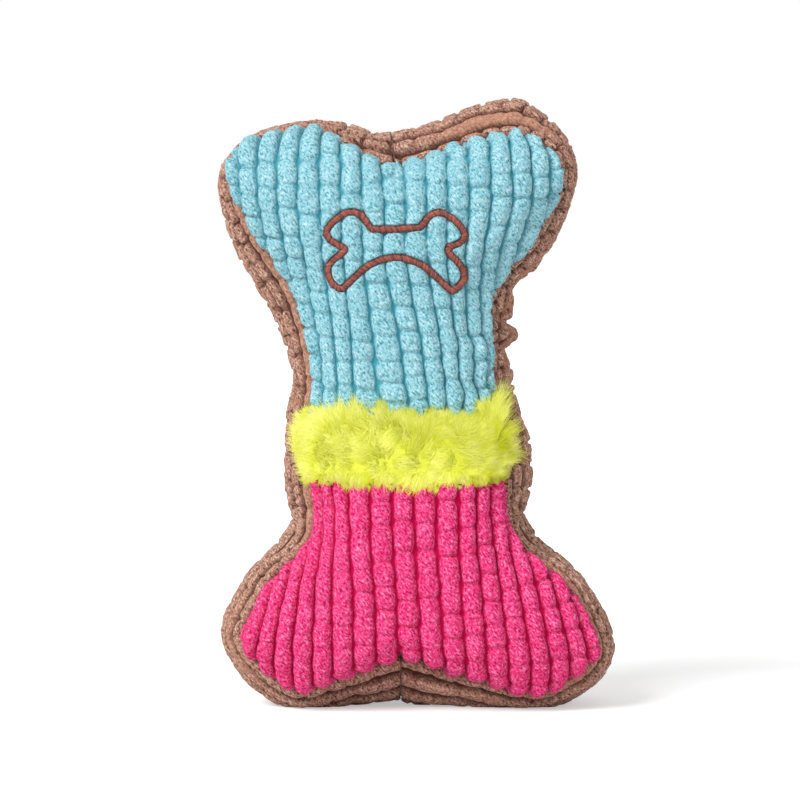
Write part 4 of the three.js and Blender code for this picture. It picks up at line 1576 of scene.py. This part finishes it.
@dataclass
class FurBand:
    """The fur band: a backing in the waist of the face and a coat of long strands that lie over it.

    Strands near the root of a chosen one form its tuft: they lean with it and their tips gather at its tip.
    """

    pattern: BonePattern
    fabric: float = 3.0
    fill: float = 0.8
    grid_size: tuple[int, int] = (60, 120)
    inner_columns: int = 24
    end_reach: float = 0.12
    edge_reach: Pair = (0.4, 0.13)
    clump_rise: Pair = (0.4, 0.7)
    clump_layers: tuple[Triple, ...] = ((1.1, 6.5, 5.0), (0.5, 2.8, 9.0))
    strands: int = 26000
    sections: tuple[str, ...] = ("left", "left_middle", "middle", "right_middle", "right")
    length: Pair = (6.0, 10.5)
    thickness: float = 0.15
    flatness: float = 0.8
    places: tuple[float, ...] = (0.0, 0.4, 0.75, 1.0)
    taper: tuple[float, ...] = (1.0, 0.9, 0.6, 0.15)
    sides: int = 3
    root_depth: float = 0.4
    root_crowd: float = 0.6
    lift: float = 0.14
    underfur: float = 2.8
    swirl: float = 8.5
    swirl_reach: float = 1.5
    side_lie: float = 1.25
    up_lie: Pair = (8.0, 0.7)
    right_lie: float = 0.7
    stray: float = 0.2
    kink: float = 0.12
    droop: Pair = (0.2, 0.1)
    tone: Triple = (0.8, 0.5, 0.18)
    upper_trim: Triple = (0.6, 0.42, 0.62)
    lower_trim: Pair = (0.58, 0.2)
    left_trim: Pair = (1.1, 0.2)
    right_trim: float = 0.25
    trim_wave: Pair = (0.3, 7.0)
    tufts: int = 300
    tuft_shade_reach: float = 2.6
    tuft_lean: float = 1.0
    gather: float = 0.5
    end_gather: float = 0.35
    seed: int = 11

    def backing(self) -> Skin:
        """Closed pad of the band: the face's surface between its two rows, with the underfur's clumps.

        Returns:
            The closed skin.
        """
        pattern = self.pattern
        top, bottom = pattern.band_top_row, pattern.band_bottom_row
        rows, columns = self.grid_size
        row = np.linspace(top, bottom, rows)[:, None]
        share = crowd(columns_of(columns))
        grid = pattern.face(row, share, 0.0, Facing.FRONT)
        grid[0, :, 2] -= pattern.seam_gap / 2.0
        grid[-1, :, 2] += pattern.seam_gap / 2.0
        full = smooth_step(1.0 - np.abs(share), 0.0, self.end_reach)
        full = full * smooth_step(np.minimum(row - top, bottom - row), 0.0, self.edge_reach[0])
        height = self.underfur * full + self.clump_rise[0] * layered_noise(grid, self.clump_layers)
        outer = grid + outward(grid, np.array(pattern.heart)) * height[..., None]
        inner = pattern.face(row, crowd(columns_of(self.inner_columns)), self.fabric, Facing.FRONT)
        mild = np.full(outer.shape[:2], 0.4)
        return closed_shell(outer, inner, {"tip": mild, "strand": mild})

    def roots(self, draw: np.random.Generator) -> tuple[Array, Array, Array, Array]:
        """Scatters the strands' roots over the backing.

        Args:
            draw: source of random numbers.

        Returns:
            Shares from left to right in order, spreads from top to bottom, points, and the directions
            out of the cloth, to the right and up at each point.
        """
        top, bottom = self.pattern.band_top_row, self.pattern.band_bottom_row
        share = crowd(np.sort(draw.uniform(-1.0, 1.0, self.strands)), self.root_crowd)
        spread = draw.uniform(0.0, 1.0, self.strands)
        row = top + (bottom - top) * (0.03 + 0.94 * spread)
        nudge = 0.02

        def at(rows: Array, shares: Array) -> Array:
            """Points just under the backing's surface."""
            return self.pattern.face(rows, np.clip(shares, -1.0, 1.0), self.root_depth, Facing.FRONT)

        over = at(row, share + nudge) - at(row, share - nudge)
        up = at(row - nudge, share) - at(row + nudge, share)
        ways = unit(np.stack([np.cross(over, up), over, up], axis=1))
        root = at(row, share)
        full = smooth_step(1.0 - np.abs(share), 0.0, self.end_reach)
        full = full * smooth_step(np.minimum(spread, 1.0 - spread), 0.0, self.edge_reach[1])
        height = self.underfur * full + self.clump_rise[1] * layered_noise(root, self.clump_layers)
        return share, spread, root + ways[:, 0] * height[:, None], ways

    def coat(self) -> list[Skin]:
        """Tapered strands: each leaves the backing, lies over with its tuft and bends along a parabola.

        The lie points away from the band's middle at its edges and wanders with a smooth field inside.

        Returns:
            One skin for each section from left to right.
        """
        draw = np.random.default_rng(self.seed)
        share, spread, root, ways = self.roots(draw)
        rise = 0.5 - spread
        outer = np.abs(share)
        side = self.side_lie * share**3 + self.swirl_reach * soft_noise(root, self.swirl, 3.0)
        wander = self.swirl_reach * soft_noise(root, self.swirl, 17.0) * smooth_step(np.abs(rise), 0.5, 0.25)
        steep, level = self.up_lie
        up = steep * rise**3 + level * rise + self.right_lie * smooth_step(share, 0.6, 0.95) + wander
        lie = np.stack([np.full(self.strands, self.lift), side, up], axis=1)
        lie += draw.normal(0.0, self.stray, lie.shape) * np.array([0.6, 1.0, 1.0])
        centre = np.sort(draw.choice(self.strands, self.tufts, replace=False))
        member = np.argmin((root[centre] ** 2).sum(-1)[None] - 2.0 * root @ root[centre].T, axis=1)
        inside = smooth_step(np.abs(rise), 0.5, 0.3) * smooth_step(outer, 1.0, 0.8)
        lean = draw.uniform(-0.5, 0.5, (self.tufts, 3)) * np.array([0.3, 1.0, 1.0])
        lie += self.tuft_lean * lean[member] * inside[:, None]
        way = unit(np.einsum("nk,nkc->nc", lie, ways))
        length = (draw.uniform(*self.length, self.strands) * self.trim(share, spread, root))[:, None]
        pull = (root + way * length)[centre][member] - (root + way * length)
        inside_droop, end_lift = self.droop
        droop = inside_droop * smooth_step(outer, 0.97, 0.75) - end_lift * smooth_step(outer, 0.85, 0.97)
        bend = draw.normal(0.0, self.kink, (self.strands, 3)) - ways[:, 0] * droop[:, None]
        hold = (self.gather + self.end_gather * smooth_step(share, 0.75, 0.95))[:, None]
        t = np.array(self.places)[None, :, None]
        paths = root[:, None] + (way * length)[:, None] * t + (bend * length + pull * hold)[:, None] * t**2
        # The strand's tone is partly random and partly painted shade, darker the further the strand's root
        # lies from its tuft's middle.
        away = np.linalg.norm(root - root[centre][member], axis=1)
        base, of_tuft, scatter = self.tone
        tuft = of_tuft * hash_unit(centre, 3.0)[member] - away / self.tuft_shade_reach
        tone = np.clip(base + tuft + draw.normal(0.0, scatter, self.strands), 0.0, 1.0)
        radius = self.thickness * np.array(self.taper)[None, :]
        skins = []
        for part in np.array_split(np.arange(self.strands), len(self.sections)):
            skin = tubes(paths[part], radius, self.sides, ways[part, 0], self.flatness)
            skin.marks["strand"] = np.repeat(tone[part], len(skin.points) // len(part))
            skins.append(skin)
        return skins

    def trim(self, share: Array, spread: Array, root: Array) -> Array:
        """How long the coat is at each root: short at the middle of both edges, long at the right end's top.

        At the left end it is shorter, but for the lower corner, where it is long.

        Args:
            share: places from -1 at the left to 1 at the right.
            spread: places from 0 at the top to 1 at the bottom.
            root: the roots.

        Returns:
            Shares of the strands' length.
        """
        top = smooth_step(spread, 0.35, 0.1)
        bottom = smooth_step(spread, 0.6, 0.85)
        middle, left, right = self.upper_trim
        upper = middle + left * smooth_step(share, 0.1, -0.4) + right * smooth_step(share, 0.6, 0.92)
        middle, less_aside = self.lower_trim
        lower = middle - less_aside * smooth_step(np.abs(share), 0.35, 0.7)
        right_end = self.right_trim * smooth_step(share, 0.8, 1.0) * smooth_step(spread, 0.75, 0.45)
        corner, less = self.left_trim
        left_end = smooth_step(share, -0.75, -0.95) * (corner * smooth_step(spread, 0.55, 0.9) - less)
        depth, cell = self.trim_wave
        wave = 1.0 + depth * soft_noise(root, cell, 29.0)
        edges = 1.0 + (upper - 1.0) * top + (lower - 1.0) * bottom
        return edges * (1.0 + right_end + left_end) * wave

    def place(self) -> None:
        """Makes the backing and the coat and hangs them on the front cover."""
        finish = LIME.material()
        backing = self.backing().piece("fur_band_backing", finish)
        hang(backing, Body.FRONT_COVER, "fur_band")
        for name, skin in zip(self.sections, self.coat()):
            piece = hang(skin.piece(f"fur_coat_{name}", finish), Body.FRONT_COVER)
            # The coat casts no shadow; painted shade in the strands' tone stands in for it.
            piece.visible_shadow = False


# Embroidery


@dataclass
class BoneEmbroidery:
    """A bone outlined in satin stitch: short threads laid side by side across its line."""

    pattern: BonePattern
    width: float = 2.3
    uneven: Pair = (0.84, 0.3)
    wander: float = 0.5
    slant: float = 0.5
    thread: float = 0.46
    spacing: float = 0.36
    middle: Pair = (-6.7, 151.8)
    size: float = 0.965
    lift: float = 0.27
    crest: float = 0.45
    base: float = -0.9
    roundness: float = 5.0
    places: tuple[float, ...] = (-1.0, -0.9, -0.55, 0.0, 0.55, 0.9, 1.0)
    taper: tuple[float, ...] = (0.75, 1.0, 1.05, 1.05, 1.05, 1.0, 0.75)
    sides: int = 5
    span_steps: int = 24
    upper_edge: tuple[Pair, ...] = (
        *((-29.9, 158.4), (-25.8, 163.4), (-21.4, 165.0), (-17.9, 163.6), (-15.9, 160.6), (-14.9, 159.4)),
        *((-13.0, 159.2), (0.2, 159.7), (1.7, 160.0), (2.7, 161.3), (4.8, 163.8), (8.1, 164.8)),
        *((12.8, 162.5), (16.5, 157.5), (15.6, 155.3), (11.6, 153.2), (10.7, 152.3), (11.4, 151.1)),
    )
    lower_edge: tuple[Pair, ...] = (
        *((15.6, 146.4), (16.4, 143.0), (15.2, 140.6), (13.3, 138.9), (12.2, 138.5), (11.0, 139.3)),
        *((2.6, 146.8), (-6.6, 149.8), (-15.7, 147.0), (-23.8, 139.9), (-25.1, 139.0), (-26.5, 139.6)),
        *((-28.9, 142.4), (-29.2, 147.0), (-24.6, 151.4), (-23.7, 152.3), (-24.8, 153.2), (-28.8, 155.6)),
    )

    def line(self) -> Array:
        """Middle of the stitched line: a spline through its corners, cut at even steps.

        Returns:
            x and z of each stitch.
        """
        middle = np.array(self.middle)
        corners = np.array(self.upper_edge + self.lower_edge)
        corners = middle + self.size * (corners - middle) + np.array([0.0, self.lift])
        curve = closed_spline(corners, self.span_steps)
        length = run_along(whole(curve, True))[-1]
        return even_steps(curve, int(length / self.spacing), True)

    def build(self) -> Skin:
        """Works out the stitches: each arches over the line's width, slanted a little, on the face.

        Returns:
            The skin of all the stitches.
        """
        line = self.line()
        order = np.arange(len(line))
        ahead = unit(np.roll(line, -3, axis=0) - np.roll(line, 3, axis=0))
        aside = np.stack([ahead[:, 1], -ahead[:, 0]], axis=1)
        shift = self.wander * (hash_unit(order, 4.0) - 0.5)
        least, more = self.uneven
        half = self.width / 2.0 * (least + more * hash_unit(order, 9.0))
        t = np.array(self.places)
        over = (t * half[:, None] + shift[:, None])[..., None]
        flat = line[:, None] + aside[:, None] * over + ahead[:, None] * (self.slant * t)[:, None]
        row, share = self.pattern.front_place(flat[..., 0].ravel(), flat[..., 1].ravel())
        face = self.pattern.face(row, share, 0.0, Facing.FRONT).reshape(len(line), len(t), 3)
        face[..., 1] -= self.base + (self.crest - self.base) * dome(t, self.roundness)
        radius = self.thread / 2.0 * np.array(self.taper)[None, :]
        return tubes(face, radius, self.sides, np.tile([0.0, 1.0, 0.0], (len(line), 1)))

    def place(self) -> None:
        """Makes the stitches and hangs them on the front cover."""
        piece = self.build().piece("bone_satin_stitch", RUST.material())
        hang(piece, Body.FRONT_COVER, "bone_embroidery")


# Seams


@dataclass
class SeamThreads:
    """Two-ply sewing thread in the seams, with a hand-sewn ladder where the filling went in."""

    pattern: BonePattern
    squeeze: Squeeze
    thread: float = 0.6
    fabric: float = 3.0
    sides: int = 8
    lobe: float = 0.24
    ply_turn: float = 2.2
    ring_step: float = 0.5
    ladder_step: float = 4.0
    ladder_reach: float = 1.7
    ladder_out: float = 0.5
    ladder_steady: Triple = (0.9, 0.0, 0.44)
    closing_stations: tuple[int, int] = (9, 6)
    closing_gap: float = 0.15
    inset: float = 0.93

    def twisted(self, path: Array, closed: bool, steady: Triple) -> Skin:
        """A two-ply thread: its section has two lobes, and it turns as it goes along.

        Args:
            path: points that the thread follows.
            closed: whether it comes back to its start.
            steady: a direction that the path never follows.

        Returns:
            The skin of the thread.
        """
        length = run_along(whole(path, closed))[-1]
        points = even_steps(path, max(8, int(length / self.ring_step)), closed)
        onward = np.roll(points, -1, axis=0) - np.roll(points, 1, axis=0)
        aside, lift = side_ways(unit(onward if closed else np.gradient(points, axis=0)), np.array(steady))
        turn = 2.0 * np.pi * np.arange(self.sides) / self.sides
        twist = 2.0 * np.pi * self.ring_step / self.ply_turn * np.arange(len(points))
        lobes = 1.0 - self.lobe + self.lobe * np.cos(2.0 * turn - twist[:, None])
        round_path = aside[:, None] * np.cos(turn)[:, None] + lift[:, None] * np.sin(turn)[:, None]
        rings = points[:, None] + (self.thread / 2.0 * lobes)[..., None] * round_path
        skin = loft(rings, self.sides // 2, closed)
        skin.marks["strand"] = np.repeat(0.5 + 0.5 * np.sin(twist), self.sides)
        return skin

    def seam_line(self, first: float, last: float, facing: Facing) -> Array:
        """Points along the middle of a face's seam, in its gap and halfway through the cloth.

        Args:
            first: sample where the line starts.
            last: sample where it ends.
            facing: the front or the back.

        Returns:
            The points.
        """
        place = np.linspace(first, last, int(abs(last - first) * 4))
        flat = along_loop(inset_loop(self.pattern.seam, self.fabric / 2.0), place)
        deep = np.full(len(flat), facing.value * (self.pattern.half_gusset + self.pattern.seam_gap / 2.0))
        return np.stack([flat[:, 0], deep, flat[:, 1]], axis=1)

    def closing_ladder(self, first: float, last: float) -> Array:
        """Points of the hand-sewn closing: it steps from the back panel to the gusset and back again.

        Args:
            first: sample where the closing starts.
            last: sample where it ends.

        Returns:
            The points.
        """
        line = self.seam_line(first, last, Facing.BACK)
        steps = even_steps(line, int(run_along(line)[-1] / self.ladder_step) * 4, False)
        swing = np.where(np.arange(len(steps)) % 4 < 2, 1.0, -1.0) * self.ladder_reach
        outside = inset_loop(self.pattern.seam, -self.ladder_out)
        flat = along_loop(outside, np.linspace(first, last, len(steps)))
        steps = np.stack([flat[:, 0], steps[:, 1] + swing, flat[:, 1]], axis=1)
        return even_steps(steps, len(steps) * 5, False)

    def place(self) -> None:
        """Makes every seam's thread and hangs it on its body."""
        pattern = self.pattern
        finish = BROWN_THREAD.material()
        deep, across, upward = (0.0, 1.0, 0.0), (1.0, 0.0, 0.0), (0.0, 0.0, 1.0)
        start, end = (pattern.samples - station * pattern.steps for station in self.closing_stations)
        share = np.linspace(-self.inset, self.inset, 40)

        def band(row: int) -> Array:
            """Points along a seam of the fur band."""
            return pattern.face(float(row), crowd(share), self.fabric / 2.0, Facing.FRONT)

        def joint(sample: int) -> Array:
            """Points along a join of the two gusset strips."""
            return pattern.gusset(float(sample), share, self.fabric / 2.0)

        front = self.seam_line(0.0, pattern.samples - 0.25, Facing.FRONT)
        round_back = (end + self.closing_gap, start + pattern.samples - self.closing_gap)
        back = self.seam_line(*round_back, Facing.BACK)
        closing = self.closing_ladder(start, end)
        cover, stuffed = Body.FRONT_COVER, Body.STUFFED
        runs = (
            ("front_seam_thread", "front_seam_stitch", cover, front, True, deep),
            ("back_seam_thread", "back_seam_stitch", stuffed, back, False, deep),
            ("closing_ladder_thread", "closing_stitch", stuffed, closing, False, self.ladder_steady),
            ("upper_band_thread", "upper_band_stitch", cover, band(pattern.band_top_row), False, upward),
            ("lower_band_thread", "lower_band_stitch", cover, band(pattern.band_bottom_row), False, upward),
            ("notch_join_thread", "notch_join_stitch", stuffed, joint(0), False, across),
            ("arch_join_thread", "arch_join_stitch", stuffed, joint(pattern.rows), False, across),
        )
        for name, node, body, path, closed, steady in runs:
            piece = hang(self.twisted(path, closed, steady).piece(name, finish), body, node)
            if "join" in node:
                self.squeeze.flatten(piece)


# Filling and squeaker


@dataclass
class FibreFilling:
    """Three wads of loose fibre that fill the cover and hold the squeaker."""

    frame: dict
    squeeze: Squeeze
    nodes: tuple[str, ...] = ("upper_filling", "middle_filling", "lower_filling")
    fill: float = 0.7
    voxel: float = 3.0
    hollow: Pair = (0.2, 1.4)
    clouds: tuple[Triple, ...] = ((0.35, 9.0, 3.0), (0.15, 3.5, 8.0))

    def wad(self, node: str) -> Piece:
        """A wad: the solid's own form, remeshed evenly and hollowed into soft clouds.

        Args:
            node: the solid that the wad stands for.

        Returns:
            The new piece.
        """
        work = bmesh.new()
        work.from_mesh(self.frame["nodes"][node].data)
        bmesh.ops.remove_doubles(work, verts=work.verts, dist=1e-6)
        mesh = bpy.data.meshes.new(f"{node}_wad")
        work.to_mesh(mesh)
        work.free()
        piece = linked(f"{node}_wad", mesh)
        even = piece.modifiers.new("even", "REMESH")
        even.mode = "VOXEL"
        even.voxel_size = self.voxel * MM
        graph = bpy.context.evaluated_depsgraph_get()
        smooth = bpy.data.meshes.new_from_object(piece.evaluated_get(graph))
        piece.modifiers.clear()
        piece.data = smooth
        bpy.data.meshes.remove(mesh)
        points = np.empty(len(smooth.vertices) * 3)
        smooth.vertices.foreach_get("co", points)
        points = points.reshape(-1, 3)
        normals = np.empty_like(points)
        smooth.vertex_normals.foreach_get("vector", normals.ravel())
        cloud = layered_noise(points / MM, self.clouds, 0.5)
        low, high = self.hollow
        points -= normals * ((low + (high - low) * cloud) * MM)[:, None]
        smooth.vertices.foreach_set("co", points.ravel())
        smooth.polygons.foreach_set("use_smooth", np.ones(len(smooth.polygons), dtype=bool))
        smooth.materials.clear()
        return piece

    def place(self) -> None:
        """Makes the wads, dresses them and hangs them on the stuffed body."""
        finish = FILLING.material()
        for node in self.nodes:
            piece = self.wad(node)
            piece.data.materials.append(finish)
            self.squeeze.flatten(hang(piece, Body.STUFFED, node))


@dataclass
class Squeaker:
    """The squeaker: a blown bulb, with its moulded whistle, reed and clip."""

    frame: dict
    squeeze: Squeeze
    across: float = -7.5
    up: float = 137.0
    radius: float = 21.0
    half_depth: float = 12.0
    wall: float = 1.2
    neck_bore: float = 5.0
    neck_length: float = 3.6
    bevel: float = 0.3
    parting_rib: Pair = (0.012, 0.035)
    arc_steps: int = 40
    turn_steps: int = 72
    keep: float = 0.66

    def bulb(self) -> Skin:
        """A bulb turned about its axis: an outer and an inner ellipse that meet in an open neck.

        Returns:
            The skin of the bulb.
        """
        neck = self.neck_bore + self.wall
        end = self.half_depth + self.neck_length

        def arc(inset: float, stop: float, rise: float) -> Array:
            """Radius and depth from the front pole round to the neck, with a parting rib half way."""
            radius, half = self.radius - inset, self.half_depth - inset
            turn = np.linspace(0.02, np.pi - np.arcsin(stop / radius), self.arc_steps)
            rib = 1.0 + rise * np.exp(-(((turn - np.pi / 2.0) / self.parting_rib[1]) ** 2))
            return np.stack([radius * np.sin(turn) * rib, -half * np.cos(turn)], axis=1)

        outer = arc(0.0, neck, self.parting_rib[0])
        inner = arc(self.wall, self.neck_bore, 0.0)
        rim = [[neck, end - self.bevel], [neck - self.bevel, end], [self.neck_bore, end]]
        reach, deep = np.split(np.vstack([outer, rim, inner[::-1]]), 2, axis=1)
        turn = 2.0 * np.pi * np.arange(self.turn_steps) / self.turn_steps
        x, z = self.across + reach * np.cos(turn), self.up + reach * np.sin(turn)
        return loft(np.stack([x, np.broadcast_to(deep, x.shape), z], axis=-1), self.turn_steps // 2)

    def place(self) -> None:
        """Makes the bulb and dresses the moulded pieces."""
        piece = self.bulb().piece("squeaker_bulb_shell", BULB.material())
        hang(piece, Body.STUFFED, "squeaker_bulb")
        self.squeeze.flatten(piece, self.half_depth + self.neck_length, self.keep)
        moulded, thin = WHISTLE.material(), REED_FILM.material()
        dressed = {"squeaker_whistle": moulded, "squeaker_reed_clip": moulded, "squeaker_reed": thin}
        for node, finish in dressed.items():
            solid = self.frame["nodes"][node]
            solid.data.materials.clear()
            solid.data.materials.append(finish)
            LOG.info("%s: dressed", node)


# Stage


@dataclass
class Studio:
    """White floor, soft daylight and the camera at the photograph's angle."""

    target: Triple = (-5.3, 0.0, 102.0)
    distance: float = 1350.0
    elevation: float = 3.0
    frame_width: float = 266.7
    sensor: float = 36.0
    far: float = 20.0
    sky_light: float = 0.5
    key_light: float = 3.0
    key_from: Triple = (-0.6, -0.6, 0.75)
    key_angle: float = 32.0
    fill_light: float = 2.0
    fill_size: float = 1.0
    fill_from: Triple = (0.95, -0.8, 0.5)
    aim: Triple = (0.0, 0.0, 0.1)
    floor_half: float = 6.0
    floor_colour: Colour = (0.8, 0.8, 0.8, 1.0)
    floor_lift: float = 0.42

    def camera(self) -> None:
        """Sets a long lens level with the toy, as wide at the toy as the photograph's frame."""
        data = bpy.data.cameras.new("camera")
        data.sensor_width = self.sensor
        data.lens = self.sensor * self.distance / self.frame_width
        data.clip_end = self.far
        tilt = math.radians(self.elevation)
        camera = linked("camera", data)
        x, y, z = self.target
        place = (x, y - self.distance * math.cos(tilt), z + self.distance * math.sin(tilt))
        camera.location = [value * MM for value in place]
        camera.rotation_euler = (math.pi / 2.0 - tilt, 0.0, 0.0)
        bpy.context.scene.camera = camera

    def floor(self) -> None:
        """A pale floor that keeps the shadow and shows as white where nothing shades it."""
        half = self.floor_half
        corners = [(-half, -half, 0), (half, -half, 0), (half, half, 0), (-half, half, 0)]
        mesh = bpy.data.meshes.new("floor")
        mesh.from_pydata(corners, [], [(0, 1, 2, 3)])
        sheet = FinishSheet("pale_floor")
        lift = sheet.maths("MULTIPLY", sheet.looked_at(), self.floor_lift)
        glow = {"emission_color": WHITE, "emission_strength": lift}
        mesh.materials.append(sheet.finish(self.floor_colour, roughness=0.9, specular_ior_level=0.0, **glow))
        linked("floor", mesh)

    def lights(self) -> None:
        """A soft sun from the upper left and a weak fill from the right, both aimed at the toy."""
        sun = bpy.data.lights.new("key", "SUN")
        sun.energy = self.key_light
        sun.angle = math.radians(self.key_angle)
        fill = bpy.data.lights.new("fill", "AREA")
        fill.size = self.fill_size
        fill.energy = self.fill_light
        for data, place in ((sun, self.key_from), (fill, self.fill_from)):
            lamp = linked(data.name, data)
            lamp.location = place
            x, y, z = np.array(self.aim) - np.array(place)
            turn = math.atan2(y, x) - math.pi / 2.0
            lamp.rotation_euler = (math.atan2(math.hypot(x, y), -z), 0.0, turn)

    def sky(self) -> None:
        """Even white light, which the camera sees as plain white."""
        world = bpy.data.worlds.new("studio")
        bpy.context.scene.world = world
        sheet = NodeSheet(world)
        level = sheet.spread(sheet.looked_at(), ends=(self.sky_light, 1.0))
        light = sheet.add("ShaderNodeBackground", {"Color": WHITE, "Strength": level})
        sheet.add("ShaderNodeOutputWorld", {"Surface": light.outputs["Background"]})

    def place(self) -> None:
        """Sets up the camera, the floor and the light."""
        self.camera()
        self.floor()
        self.lights()
        self.sky()
        bpy.context.scene.view_settings.view_transform = "Standard"


def face_panels(pattern: BonePattern, bone: BoneEmbroidery) -> None:
    """Makes the cyan, the pink and the back panel.

    Args:
        pattern: the toy's shape.
        bone: the stitches that press into the cyan panel.
    """
    cord = Corduroy(roundness=2.1)
    FacePanel(
        pattern,
        replace(cord, pitch=UPPER_RIBS.pitch, kernel=8.4, groove=0.03, seed=1.0),
        name="upper_cord_panel",
        node="upper_front_panel",
        last_row=pattern.band_top_row,
        layout=UPPER_RIBS,
        press=bone.line()[::3],
        right_top=1.5,
        side_spill=0.7,
    ).place(CYAN, Body.FRONT_COVER)
    FacePanel(
        pattern,
        replace(cord, pitch=LOWER_RIBS.pitch, kernel=8.8, groove=0.08, seed=2.0, break_from=(-30.0, 0.0)),
        name="lower_cord_panel",
        node="lower_front_panel",
        first_row=pattern.band_bottom_row,
        last_row=pattern.rows,
        row_steps=16,
        layout=LOWER_RIBS,
        overhang=1.5,
    ).place(PINK, Body.FRONT_COVER)
    FacePanel(
        pattern,
        replace(cord, pitch=BACK_RIBS.pitch, kernel=8.8, groove=0.1, seed=3.0),
        name="back_cord_panel",
        node="back_panel",
        facing=Facing.BACK,
        last_row=pattern.rows,
        row_steps=9,
        columns=180,
    ).place(BROWN, Body.STUFFED)


def gusset_strips(pattern: BonePattern, squeeze: Squeeze) -> None:
    """Makes the two strips of the gusset and gives each a mesh of its own.

    Args:
        pattern: the toy's shape.
        squeeze: the squeeze, which gives each strip a mesh of its own.
    """
    right_plain = ((0, 205.0, 290.0, 0.55), (1, 14.0, 58.0, 0.75), (2, 100.0, 150.0, 0.35))
    left_plain = ((0, 112.0, 232.0, 0.55), (1, 55.0, 85.0, 0.4), (3, 190.0, 230.0, 0.35))
    right = GussetStrip(
        pattern,
        replace(GUSSET_CORD, plain=right_plain, seed=4.0),
        name="right_cord_gusset",
        node="right_gusset",
        last_sample=pattern.rows,
        folds=((127.2, 139.5, 0.5), (119.5, 127.2, 2.9), (107.0, 119.5, 0.1)),
        bulges=((157.0, 12.0, 0.7), (90.0, 9.0, 1.8), (55.0, 8.0, -1.4), (36.0, 8.0, 0.6), (8.0, 9.0, 1.8)),
    )
    left = GussetStrip(
        pattern,
        replace(GUSSET_CORD, plain=left_plain, seed=5.0),
        name="left_cord_gusset",
        node="left_gusset",
        first_sample=pattern.rows,
        last_sample=pattern.samples,
        edge_rib=0.95,
        bulges=(
            *((195.0, 7.0, -0.7), (169.0, 9.0, -0.8), (142.0, 8.0, 0.8), (119.0, 12.0, -1.2)),
            *((70.0, 8.0, 0.8), (54.0, 8.0, -1.4), (22.0, 12.0, 0.7), (7.0, 8.0, 0.8)),
        ),
    )
    for strip in (right, left):
        squeeze.flatten(strip.place(BROWN, Body.STUFFED))


def main() -> None:
    """Loads the frame and builds the pieces in order."""
    logging.basicConfig(level=logging.INFO, format="%(message)s")
    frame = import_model()
    Studio().place()
    pattern = BonePattern()
    joints = {joint["name"]: joint for joint in frame["record"]["behaviour"]["joints"]}
    squeeze = Squeeze(joints["squeeze"]["range_m"][1] / MM, pattern.half_gusset)
    bone = BoneEmbroidery(pattern)
    face_panels(pattern, bone)
    gusset_strips(pattern, squeeze)
    FurBand(pattern).place()
    bone.place()
    SeamThreads(pattern, squeeze).place()
    FibreFilling(frame, squeeze).place()
    Squeaker(frame, squeeze).place()


if __name__ == "__main__":
    main()
